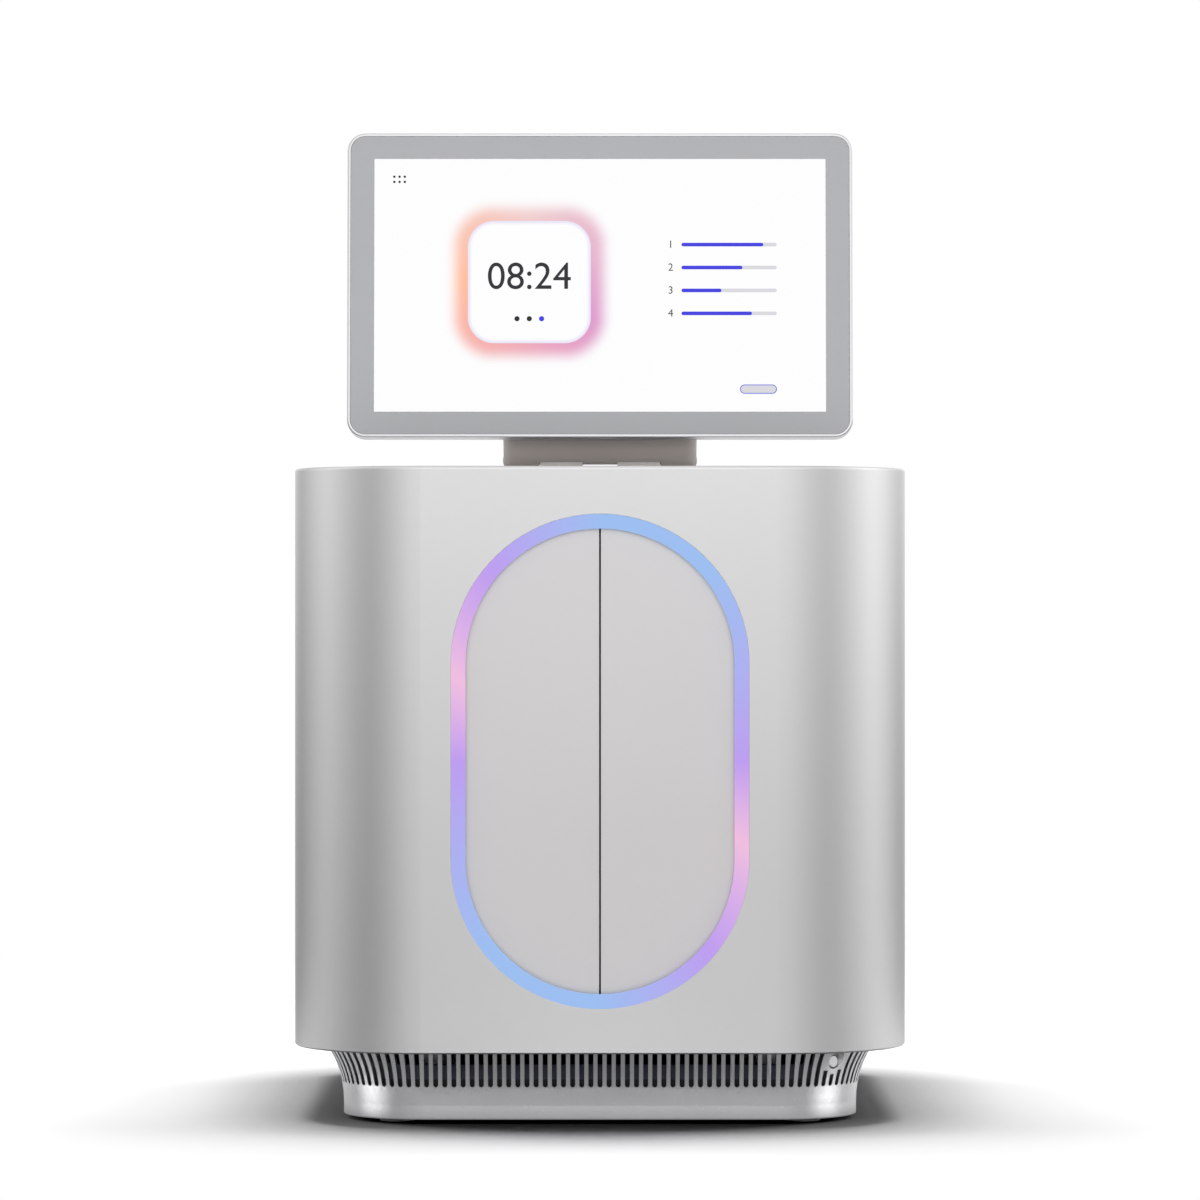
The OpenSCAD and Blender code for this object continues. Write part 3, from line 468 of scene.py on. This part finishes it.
@dataclass
class Display:
    """Lit display with a plain dashboard: a glowing panel with a clock, and numbered bars."""

    tilt_degrees: float = 3.5
    back_of_axis: float = (22 + 12.5) * MM
    below_axis: float = 4.2 * MM
    width: float = 293.8 * MM
    height: float = 165.2 * MM
    face: float = 0.4 * MM
    card_at: Flat = (-46 * MM, 2 * MM)
    card_half: float = 40 * MM
    card_radius: float = 17 * MM
    card_tones: tuple[tuple[float, str], ...] = (
        (0.0, "#EECCCC"),
        (0.33, "#DD99CC"),
        (0.75, "#FFBB99"),
        (1.0, "#EECCCC"),
    )
    halo: float = 17 * MM
    inner_rim: float = 3.2 * MM
    pixel: float = 0.6 * MM
    ink: float = 0.03 * MM

    def place(self) -> Matrix:
        """Where the display's plane stands: its X to the right, Z up and -Y to the viewer."""
        pivot = next(j for j in frame["joints"] if j["name"] == "monitor_tilt")["pos_m"]
        return (
            Matrix.Translation(Vector(pivot))
            @ Matrix.Rotation(math.radians(-self.tilt_degrees), 4, "X")
            @ Matrix.Translation((0.0, -self.back_of_axis + self.face, -self.below_axis))
        )

    def material(self) -> bpy.types.Material:
        """Backlit display: near-white, with a rounded card that glows orange to magenta at its rim."""
        material, tree, out = new_material("backlit_display")
        place = add_node(tree, "ShaderNodeTexCoord").outputs["Object"]
        inverse = self.place().inverted()
        centre = self.place() @ Vector((self.card_at[0], 0.0, self.card_at[1]))
        local = add_node(
            tree,
            "ShaderNodeMapping",
            {"Vector": place, "Location": -centre},
        )
        turned = add_node(
            tree,
            "ShaderNodeMapping",
            {"Vector": local.outputs["Vector"], "Rotation": inverse.to_euler()},
        )
        axes = add_node(tree, "ShaderNodeSeparateXYZ", {"Vector": turned.outputs["Vector"]})
        across, up = axes.outputs["X"], axes.outputs["Z"]
        beyond = []
        for axis in (across, up):
            size = add_node(tree, "ShaderNodeMath", {0: axis}, operation="ABSOLUTE")
            over = add_node(
                tree,
                "ShaderNodeMath",
                {0: size.outputs[0], 1: self.card_half - self.card_radius},
                operation="SUBTRACT",
            )
            beyond.append(add_node(tree, "ShaderNodeMath", {0: over.outputs[0], 1: 0.0}, operation="MAXIMUM"))
        corner = add_node(
            tree, "ShaderNodeCombineXYZ", {"X": beyond[0].outputs[0], "Y": beyond[1].outputs[0], "Z": 0.0}
        )
        length = add_node(tree, "ShaderNodeVectorMath", {0: corner.outputs[0]}, operation="LENGTH")
        distance = add_node(
            tree, "ShaderNodeMath", {0: length.outputs["Value"], 1: self.card_radius}, operation="SUBTRACT"
        )
        glow = add_node(tree, "ShaderNodeValToRGB", {"Fac": share_of_turn(tree, across, up)})
        fill_ramp(glow, self.card_tones)
        fade = add_node(
            tree,
            "ShaderNodeMapRange",
            {
                "Value": distance.outputs[0],
                "From Min": 0.0,
                "From Max": self.halo,
                "To Min": 1.0,
                "To Max": 0.0,
            },
            interpolation_type="SMOOTHERSTEP",
        )
        outside = add_node(
            tree, "ShaderNodeMath", {0: distance.outputs[0], 1: 0.0}, operation="GREATER_THAN"
        )
        strength = add_node(
            tree, "ShaderNodeMath", {0: fade.outputs[0], 1: outside.outputs[0]}, operation="MULTIPLY"
        )
        page = add_node(
            tree,
            "ShaderNodeMix",
            {0: strength.outputs[0], 6: linear("#FBFBFC"), 7: glow.outputs["Color"]},
            data_type="RGBA",
        )
        inner = add_node(
            tree,
            "ShaderNodeMapRange",
            {
                "Value": distance.outputs[0],
                "From Min": -self.inner_rim,
                "From Max": 0.0,
                "To Min": 0.0,
                "To Max": 1.0,
            },
            interpolation_type="SMOOTHSTEP",
        )
        inside = add_node(tree, "ShaderNodeMath", {0: 1.0, 1: outside.outputs[0]}, operation="SUBTRACT")
        rim = add_node(
            tree, "ShaderNodeMath", {0: inner.outputs[0], 1: inside.outputs[0]}, operation="MULTIPLY"
        )
        rim_soft = add_node(tree, "ShaderNodeMath", {0: rim.outputs[0], 1: 0.35}, operation="MULTIPLY")
        picture = add_node(
            tree,
            "ShaderNodeMix",
            {0: rim_soft.outputs[0], 6: page.outputs[2], 7: linear("#B9A9E8")},
            data_type="RGBA",
        )
        shader = add_node(
            tree,
            "ShaderNodeBsdfPrincipled",
            {
                "Base Color": linear("#0C0C0D"),
                "Roughness": 0.25,
                "Specular IOR Level": 0.15,
                "Emission Color": picture.outputs[2],
                "Emission Strength": 1.0,
            },
        )
        tree.links.new(shader.outputs[0], out.inputs["Surface"])
        return material

    def lit(self, name: str, colour: str) -> bpy.types.Material:
        """A flat lit colour on the display.

        Args:
            name: Name of the finish.
            colour: Hex colour.

        Returns:
            The material.
        """
        material, tree, out = new_material(name)
        # A faint pixel grid, 0.2 mm on the real panel and 0.6 mm here so that it can show at all
        place = add_node(tree, "ShaderNodeTexCoord").outputs["Object"]
        grid = add_node(
            tree, "ShaderNodeTexWave", {"Vector": place, "Scale": 1 / self.pixel / 6.28, "Distortion": 0.0}
        )
        tone = add_node(
            tree,
            "ShaderNodeMapRange",
            {"Value": grid.outputs["Fac"], "To Min": 0.97, "To Max": 1.03},
        )
        shader = add_node(
            tree, "ShaderNodeEmission", {"Color": linear(colour), "Strength": tone.outputs["Result"]}
        )
        tree.links.new(shader.outputs[0], out.inputs["Surface"])
        return material

    def digits(self, text: str, size: float, at: Flat) -> bpy.types.Mesh:
        """Flat numerals in the display's plane.

        Args:
            text: Figures only.
            size: Height of the line.
            at: Centre of the line.

        Returns:
            Their mesh, in place.
        """
        curve = bpy.data.curves.new("figures", "FONT")
        curve.body = text
        curve.size = size
        curve.align_x = "CENTER"
        curve.align_y = "CENTER"
        curve.resolution_u = 6
        temp = bpy.data.objects.new("figures", curve)
        bpy.context.scene.collection.objects.link(temp)
        bpy.context.view_layer.update()
        mesh = bpy.data.meshes.new_from_object(temp)
        bpy.data.objects.remove(temp)
        bpy.data.curves.remove(curve)
        upright = Matrix.Rotation(math.radians(90), 4, "X")
        mesh.transform(self.place() @ Matrix.Translation((at[0], -self.ink, at[1])) @ upright)
        return mesh

    def put(self, name: str, meshes: Sequence[bpy.types.Mesh], material: bpy.types.Material) -> None:
        """Joins meshes into one piece that rides on the monitor.

        Args:
            name: Name of the piece.
            meshes: What it is made of.
            material: Its finish.
        """
        bm = bmesh.new()
        for mesh in meshes:
            bm.from_mesh(mesh)
            bpy.data.meshes.remove(mesh)
        joined = bpy.data.meshes.new(name)
        bm.to_mesh(joined)
        bm.free()
        obj = mesh_object(name, joined, material)
        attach(obj, Body.MONITOR.value)

    def build(self) -> None:
        """Lights the display and draws the dashboard."""
        dress(self.material(), ["display_panel"])
        here = self.place()
        dark = self.lit("lit_pixels_charcoal", "#3A3A3E")
        pale = self.lit("lit_pixels_pale_grey", "#DADADF")
        blue = self.lit("lit_pixels_blue", "#4A48E0")
        bars_x, bar_w, row = 84 * MM, 62 * MM, 15 * MM
        shares = (0.86, 0.64, 0.42, 0.74)
        tracks, fills, labels = [], [], []
        for i, share in enumerate(shares):
            z = (1.5 - i) * row + 4 * MM
            tracks.append(rounded_rect(bar_w, 2.4 * MM, 1.19 * MM, (bars_x, z)))
            filled = bar_w * share
            fills.append(rounded_rect(filled, 2.4 * MM, 1.19 * MM, (bars_x - (bar_w - filled) / 2, z)))
            labels.append(self.digits(str(i + 1), 7 * MM, (bars_x - bar_w / 2 - 7 * MM, z)))
        self.put("display_bar_tracks", [plate_mesh("tracks", tracks, self.ink, here)], pale)
        self.put("display_bar_fills", [plate_mesh("fills", fills, 2 * self.ink, here)], blue)
        menu = [
            rounded_rect(1.6 * MM, 1.6 * MM, 0.79 * MM, (x * MM, z * MM))
            for x in (-134, -130.6, -127.2)
            for z in (71, 67.6)
        ]
        pill = [rounded_rect(24 * MM, 6 * MM, 2.99 * MM, (103 * MM, -68 * MM))]
        pill_inner = [rounded_rect(23 * MM, 5 * MM, 2.49 * MM, (103 * MM, -68 * MM))]
        dots = [rounded_rect(3.4 * MM, 3.4 * MM, 1.69 * MM, ((-46 + k) * MM, -22 * MM)) for k in (-8, 0, 8)]
        marks = [plate_mesh("menu", menu, self.ink, here), plate_mesh("dots", dots[:2], self.ink, here)]
        clock = self.digits("08:24", 25 * MM, (self.card_at[0], 5 * MM))
        self.put("display_figures", [clock, *labels, *marks], dark)
        self.put(
            "display_next_dot",
            [plate_mesh("dot", dots[2:], self.ink, here), plate_mesh("pill", pill, self.ink, here)],
            blue,
        )
        self.put("display_pill_face", [plate_mesh("pill_face", pill_inner, 2 * self.ink, here)], pale)
        LOG.info("display lit")


@dataclass
class Screws:
    """Button-head screws that hold the rear cover and the connector panel."""

    head_r: float = 3.2 * MM
    head_h: float = 1.6 * MM
    socket_r: float = 1.3 * MM
    head_points: int = 36
    socket_flats: int = 6
    rear_y: float = 225 * MM
    sites: tuple[Flat, ...] = (
        (-104, 66),
        (104, 66),
        (-104, 236),
        (104, 236),
        (-104, 408),
        (104, 408),
        (0, 408),
        (0, 236),
    )

    def head(self, at: Point) -> bpy.types.Mesh:
        """One turned head with a hexagon socket, its axis along Y.

        Args:
            at: Middle of its seat.

        Returns:
            Its mesh, in place.
        """
        bm = bmesh.new()
        profile = [
            (self.head_r, 0.0),
            (self.head_r, 0.25 * self.head_h),
            (0.94 * self.head_r, 0.6 * self.head_h),
            (0.78 * self.head_r, 0.86 * self.head_h),
            (0.5 * self.head_r, self.head_h),
        ]
        rings = [self.ring(bm, radius, rise) for radius, rise in profile]
        for rise in (self.head_h, 0.3 * self.head_h):
            rings.append(self.ring(bm, self.socket_r, rise, sides=self.socket_flats))
        for low, high in zip(rings, rings[1:]):
            for i in range(self.head_points):
                j = (i + 1) % self.head_points
                bm.faces.new((low[i], low[j], high[j], high[i]))
        bm.faces.new(rings[-1])
        bm.faces.new(list(reversed(rings[0])))
        bmesh.ops.recalc_face_normals(bm, faces=bm.faces)
        bm.transform(Matrix.Translation(at))
        mesh = bpy.data.meshes.new("head")
        bm.to_mesh(mesh)
        bm.free()
        return mesh

    def ring(
        self, bm: bmesh.types.BMesh, radius: float, rise: float, sides: int = 0
    ) -> list[bmesh.types.BMVert]:
        """One ring of points about Y.

        Args:
            bm: Mesh that takes the points.
            radius: Radius, or half the width over flats.
            rise: How far out along +Y.
            sides: Number of flats, or none for a circle.

        Returns:
            The new points.
        """
        points = []
        for i in range(self.head_points):
            angle = 2 * math.pi * i / self.head_points
            reach = radius
            if sides:
                part = 2 * math.pi / sides
                reach = radius / math.cos((angle % part) - part / 2)
            points.append(bm.verts.new((reach * math.cos(angle), rise, reach * math.sin(angle))))
        return points

    def build(self, material: bpy.types.Material) -> None:
        """Sets the heads in one piece on the rear face.

        Args:
            material: Their finish.
        """
        bm = bmesh.new()
        for x, z in self.sites:
            mesh = self.head((x * MM, self.rear_y, z * MM))
            bm.from_mesh(mesh)
            bpy.data.meshes.remove(mesh)
        joined = bpy.data.meshes.new("rear_screws")
        bm.to_mesh(joined)
        bm.free()
        obj = mesh_object("rear_screws", joined, material)
        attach(obj, Body.INSTRUMENT.value)
        LOG.info("rear screws set")


@dataclass
class Studio:
    """Pale floor, white surroundings, soft lamps, a light tent for the metal, and the camera."""

    floor_half: float = 14.0
    camera_at: Point = (0.0, -3.625, 0.339)
    lens: float = 159.3
    surround: float = 0.06
    tent_r: float = 2.6
    tent_h: float = 3.0
    tent_power: float = 1.84
    ground_gloss: float = 0.85
    # How much the near floor's colour is raised in reflections alone: a painted brightening.
    near_gloss: float = 1.2
    card_size: float = 0.2
    glow_size: float = 1.5
    glow_power: float = 0.3
    card_power: float = 4.0
    # A pale panel faces each side and a grey gap stands at each corner; the left is the darker side
    panels: tuple[tuple[float, str], ...] = (
        (0, "#F0F0F0"),
        (45, "#B8B8B8"),
        (90, "#FFFFFF"),
        (135, "#B8B8B8"),
        (180, "#F0F0F0"),
        (225, "#A0A0A0"),
        (270, "#E0E0E0"),
        (315, "#A0A0A0"),
        (360, "#F0F0F0"),
    )

    def first_hand(
        self, tree: bpy.types.NodeTree, level: float | bpy.types.NodeSocket
    ) -> bpy.types.NodeSocket:
        """A level that reflections seen by the eye get, and that light bounced off plain surfaces doesn't.

        Args:
            tree: Node tree that takes the nodes.
            level: The level.

        Returns:
            The socket.
        """
        path = add_node(tree, "ShaderNodeLightPath")
        bounced = add_node(
            tree, "ShaderNodeMath", {0: path.outputs["Diffuse Depth"], 1: 0.5}, operation="LESS_THAN"
        )
        held = add_node(tree, "ShaderNodeMath", {0: bounced.outputs[0], 1: level}, operation="MULTIPLY")
        return held.outputs[0]

    def panel_ramp(self, tree: bpy.types.NodeTree, place: bpy.types.NodeSocket) -> bpy.types.NodeSocket:
        """Brightness of the tent's panels by their bearing from the front.

        Args:
            tree: Node tree that takes the nodes.
            place: Position socket.

        Returns:
            The colour socket.
        """
        axes = add_node(tree, "ShaderNodeSeparateXYZ", {"Vector": place})
        ahead = add_node(tree, "ShaderNodeMath", {0: axes.outputs["Y"], 1: -1.0}, operation="MULTIPLY")
        share = share_of_turn(tree, axes.outputs["X"], ahead.outputs[0])
        ramp = add_node(tree, "ShaderNodeValToRGB", {"Fac": share})
        fill_ramp(ramp, [(bearing / 360, shade) for bearing, shade in self.panels])
        return ramp.outputs["Color"]

    def floor(self) -> None:
        """Pale matt floor with the lamps' real shadows and a painted contact shadow near the instrument,
        running out to plain white.
        """
        bm = bmesh.new()
        reach = self.floor_half
        corners = [(-reach, -reach), (reach, -reach), (reach, reach), (-reach, reach)]
        bm.faces.new([bm.verts.new((x, y, 0.0)) for x, y in corners])
        mesh = bpy.data.meshes.new("floor")
        bm.to_mesh(mesh)
        bm.free()
        material, tree, out = new_material("matt_white_floor")
        place = add_node(tree, "ShaderNodeTexCoord").outputs["Object"]
        # Painted contact shadow: an occlusion node darkens the floor's colour within 0.1 m of the instrument,
        # on top of the lamps' real shadows.
        painted_shadow_ao = add_node(tree, "ShaderNodeAmbientOcclusion", {"Distance": 0.1}, samples=8)
        painted_contact_shadow = add_node(tree, "ShaderNodeMath", {0: painted_shadow_ao.outputs["AO"], 1: 0.85}, operation="POWER")
        # pale is the floor colour with the painted contact shadow in it.
        pale = add_node(
            tree, "ShaderNodeVectorMath", {0: (1.2, 1.2, 1.2), "Scale": painted_contact_shadow.outputs[0]}, operation="SCALE"
        )
        matt = add_node(tree, "ShaderNodeBsdfDiffuse", {"Color": pale.outputs[0]})
        white = add_node(tree, "ShaderNodeEmission", {"Color": linear("#FFFFFF"), "Strength": 1.0})
        reach_out = add_node(tree, "ShaderNodeVectorMath", {0: place}, operation="LENGTH")
        behind = add_node(tree, "ShaderNodeVectorMath", {0: place, 1: (0.0, 0.3, 0.0)}, operation="DISTANCE")
        far = add_node(
            tree,
            "ShaderNodeMapRange",
            {"Value": behind.outputs["Value"], "From Min": 0.5, "From Max": 1.25},
            interpolation_type="SMOOTHSTEP",
        )
        seen = add_node(
            tree, "ShaderNodeMixShader", {0: far.outputs[0], 1: matt.outputs[0], 2: white.outputs[0]}
        )
        beyond = add_node(
            tree,
            "ShaderNodeEmission",
            {"Color": self.panel_ramp(tree, place), "Strength": self.first_hand(tree, self.ground_gloss)},
        )
        # Painted reflection: for reflections only, the near floor's colour is multiplied by the tent's panel
        # pattern, painting grey bands by bearing, and raised by near_gloss, a painted brightening.
        floor_with_painted_bands = add_node(
            tree,
            "ShaderNodeVectorMath",
            {0: pale.outputs[0], 1: self.panel_ramp(tree, place)},
            operation="MULTIPLY",
        )
        painted_reflection_floor = add_node(
            tree,
            "ShaderNodeVectorMath",
            {0: floor_with_painted_bands.outputs[0], "Scale": self.near_gloss},
            operation="SCALE",
        )
        near = add_node(tree, "ShaderNodeBsdfDiffuse", {"Color": painted_reflection_floor.outputs[0]})
        away = add_node(
            tree,
            "ShaderNodeMapRange",
            {"Value": reach_out.outputs["Value"], "From Min": 0.45, "From Max": 0.95},
            interpolation_type="SMOOTHSTEP",
        )
        gloss = add_node(
            tree, "ShaderNodeMixShader", {0: away.outputs[0], 1: near.outputs[0], 2: beyond.outputs[0]}
        )
        path = add_node(tree, "ShaderNodeLightPath")
        both = add_node(
            tree,
            "ShaderNodeMixShader",
            {0: path.outputs["Is Glossy Ray"], 1: seen.outputs[0], 2: gloss.outputs[0]},
        )
        tree.links.new(both.outputs[0], out.inputs["Surface"])
        mesh_object("floor", mesh, material)

    def tent(self) -> None:
        """Round tent of white and grey panels, brighter overhead, that only polished surfaces see."""
        bm = bmesh.new()
        steps = 96
        low, high = [], []
        for i in range(steps):
            turn = 2 * math.pi * i / steps
            x, y = self.tent_r * math.cos(turn), self.tent_r * math.sin(turn)
            low.append(bm.verts.new((x, y, 0.0)))
            high.append(bm.verts.new((x, y, self.tent_h)))
        for i in range(steps):
            j = (i + 1) % steps
            bm.faces.new((low[i], low[j], high[j], high[i]))
        mesh = bpy.data.meshes.new("tent")
        bm.to_mesh(mesh)
        bm.free()
        material, tree, out = new_material("tent_fabric")
        place = add_node(tree, "ShaderNodeTexCoord").outputs["Object"]
        axes = add_node(tree, "ShaderNodeSeparateXYZ", {"Vector": place})
        rise = add_node(
            tree,
            "ShaderNodeMapRange",
            {
                "Value": axes.outputs["Z"],
                "From Min": 0.0,
                "From Max": 0.7,
                "To Min": self.ground_gloss,
                "To Max": self.tent_power,
            },
            interpolation_type="SMOOTHSTEP",
        )
        shader = add_node(
            tree,
            "ShaderNodeEmission",
            {
                "Color": self.panel_ramp(tree, place),
                "Strength": self.first_hand(tree, rise.outputs["Result"]),
            },
        )
        tree.links.new(shader.outputs[0], out.inputs["Surface"])
        self.gloss_only(mesh_object("tent", mesh, material))

    def world(self) -> None:
        """White surroundings for eye, gloss and glass, and a lower level for plain light."""
        world = bpy.data.worlds.new("surroundings")
        bpy.context.scene.world = world
        world.use_nodes = True
        tree = world.node_tree
        tree.nodes.clear()
        path = add_node(tree, "ShaderNodeLightPath")
        eye = add_node(
            tree,
            "ShaderNodeMath",
            {0: path.outputs["Is Camera Ray"], 1: path.outputs["Is Glossy Ray"]},
            operation="MAXIMUM",
        )
        shown = add_node(
            tree,
            "ShaderNodeMath",
            {0: eye.outputs[0], 1: path.outputs["Is Transmission Ray"]},
            operation="MAXIMUM",
        )
        level = add_node(
            tree, "ShaderNodeMapRange", {"Value": shown.outputs[0], "To Min": self.surround, "To Max": 1.0}
        )
        sky = add_node(
            tree, "ShaderNodeBackground", {"Color": linear("#FFFFFF"), "Strength": level.outputs["Result"]}
        )
        out = add_node(tree, "ShaderNodeOutputWorld")
        tree.links.new(sky.outputs[0], out.inputs["Surface"])

    def lamp(
        self,
        name: str,
        at: Point,
        aim: Point,
        size: Flat,
        watts: float,
        *,
        but: Sequence[str] = (),
        only: Sequence[str] = (),
    ) -> None:
        """A soft rectangular lamp; polished surfaces see the tent in its place.

        Args:
            name: Its name.
            at: Its place.
            aim: The point it faces.
            size: Its width and height.
            watts: Its power.
            but: Pieces that it doesn't light.
            only: The only pieces that it lights.
        """
        light = bpy.data.lights.new(name, "AREA")
        light.shape = "RECTANGLE"
        light.size, light.size_y = size
        light.energy = watts
        obj = bpy.data.objects.new(name, light)
        bpy.context.scene.collection.objects.link(obj)
        obj.location = at
        obj.rotation_euler = (Vector(aim) - Vector(at)).to_track_quat("-Z", "Y").to_euler()
        obj.visible_camera = False
        obj.visible_glossy = False
        self.link(obj, but=but, only=only)

    def link(self, light: bpy.types.Object, *, but: Sequence[str] = (), only: Sequence[str] = ()) -> None:
        """Keeps a light off some pieces, or on some pieces alone.

        Args:
            light: The lamp or glowing card.
            but: Pieces that it doesn't light.
            only: The only pieces that it lights.
        """
        if not (but or only):
            return
        linked = bpy.data.collections.new(light.name + "_links")
        for piece in (*but, *only):
            linked.objects.link(bpy.data.objects[piece])
        for entry in linked.collection_objects:
            entry.light_linking.link_state = "EXCLUDE" if but else "INCLUDE"
        light.light_linking.receiver_collection = linked

    def reflector(self, name: str, at: Flat, size: float, power: float) -> None:
        """A soft bright card on the floor that only the polished base skirt sees.

        Args:
            name: Its name.
            at: Its centre on the floor.
            size: Its width.
            power: Its strength at the centre, which falls off to nothing at the rim.
        """
        half = size / 2
        card = rounded_rect(size, size, half * 0.99, at)
        bm = bmesh.new()
        bm.faces.new([bm.verts.new((x, y, MM)) for x, y in card])
        mesh = bpy.data.meshes.new(name)
        bm.to_mesh(mesh)
        bm.free()
        material, tree, out = new_material(name + "_card")
        place = add_node(tree, "ShaderNodeTexCoord").outputs["Object"]
        spread = add_node(tree, "ShaderNodeVectorMath", {0: place, 1: (*at, 0.0)}, operation="DISTANCE")
        centre = add_node(
            tree,
            "ShaderNodeMapRange",
            {"Value": spread.outputs["Value"], "From Min": half, "From Max": 0.0},
            interpolation_type="SMOOTHERSTEP",
        )
        level = add_node(
            tree,
            "ShaderNodeMath",
            {0: centre.outputs[0], 1: self.first_hand(tree, power)},
            operation="MULTIPLY",
        )
        glow = add_node(
            tree, "ShaderNodeEmission", {"Color": linear("#FFFFFF"), "Strength": level.outputs[0]}
        )
        clear = add_node(tree, "ShaderNodeBsdfTransparent")
        over = add_node(tree, "ShaderNodeAddShader", {0: clear.outputs[0], 1: glow.outputs[0]})
        tree.links.new(over.outputs[0], out.inputs["Surface"])
        obj = mesh_object(name, mesh, material)
        self.gloss_only(obj)
        self.link(obj, only=[frame["nodes"]["base_skirt"].name])

    def gloss_only(self, obj: bpy.types.Object) -> None:
        """Hides a studio piece from everything but polished surfaces."""
        obj.visible_camera = False
        obj.visible_diffuse = False
        obj.visible_transmission = False
        obj.visible_shadow = False

    def camera(self) -> None:
        """Level camera straight in front, at the instrument's middle height."""
        data = bpy.data.cameras.new("camera")
        data.lens = self.lens
        data.sensor_width = 36.0
        data.sensor_fit = "HORIZONTAL"
        data.clip_end = 60.0
        obj = bpy.data.objects.new("camera", data)
        obj.location = self.camera_at
        obj.rotation_euler = (math.radians(90), 0.0, 0.0)
        bpy.context.scene.collection.objects.link(obj)
        bpy.context.scene.camera = obj

    def build(self) -> None:
        """Sets up the studio."""
        self.camera()
        self.floor()
        self.tent()
        self.world()
        self.lamp("overhead", (0.0, 0.22, 2.4), (0.0, 0.22, 0.0), (1.8, 0.8), 50.0)
        self.lamp("front_fill", (0.0, -2.4, 0.7), (0.0, 0.0, 0.3), (2.2, 0.9), 28.0, but=["floor"])
        self.lamp("rear_fill", (0.0, 2.4, 0.9), (0.0, 0.0, 0.3), (2.2, 0.9), 22.0, but=["floor"])
        mount = [frame["nodes"][name].name for name in ("arm", "arm_foot", "tilt_bracket")]
        self.lamp("arm_kicker", (0.0, -1.2, 0.42), (0.0, 0.0, 0.44), (0.8, 0.1), 8.0, only=mount)
        for side in (-1, 1):
            self.lamp(f"side_softbox_{side + 1}", (side * 2.0, 1.3, 0.4), (0.0, 0.0, 0.2), (1.0, 0.5), 46.0)
        for side in (-1, 1):
            corner = (side * 0.268, -0.222)
            self.reflector(f"corner_reflector_{side + 1}", corner, self.card_size, self.card_power)
        self.reflector("base_glow", (0.0, 0.0), self.glow_size, self.glow_power)
        bpy.context.scene.view_settings.view_transform = "Standard"
        LOG.info("studio set")


def main() -> None:
    """Builds the studio, dresses the frame and adds the pieces in order."""
    logging.basicConfig(level=logging.INFO, format="%(name)s: %(message)s")
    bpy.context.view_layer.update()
    Studio().build()
    finishes = dress_slots()
    dress(RIM_METAL.build(), ["monitor_rim"])
    LightRing().build()
    Display().build()
    Screws().build(finishes["steel_pin"])


if __name__ == "__main__":
    main()
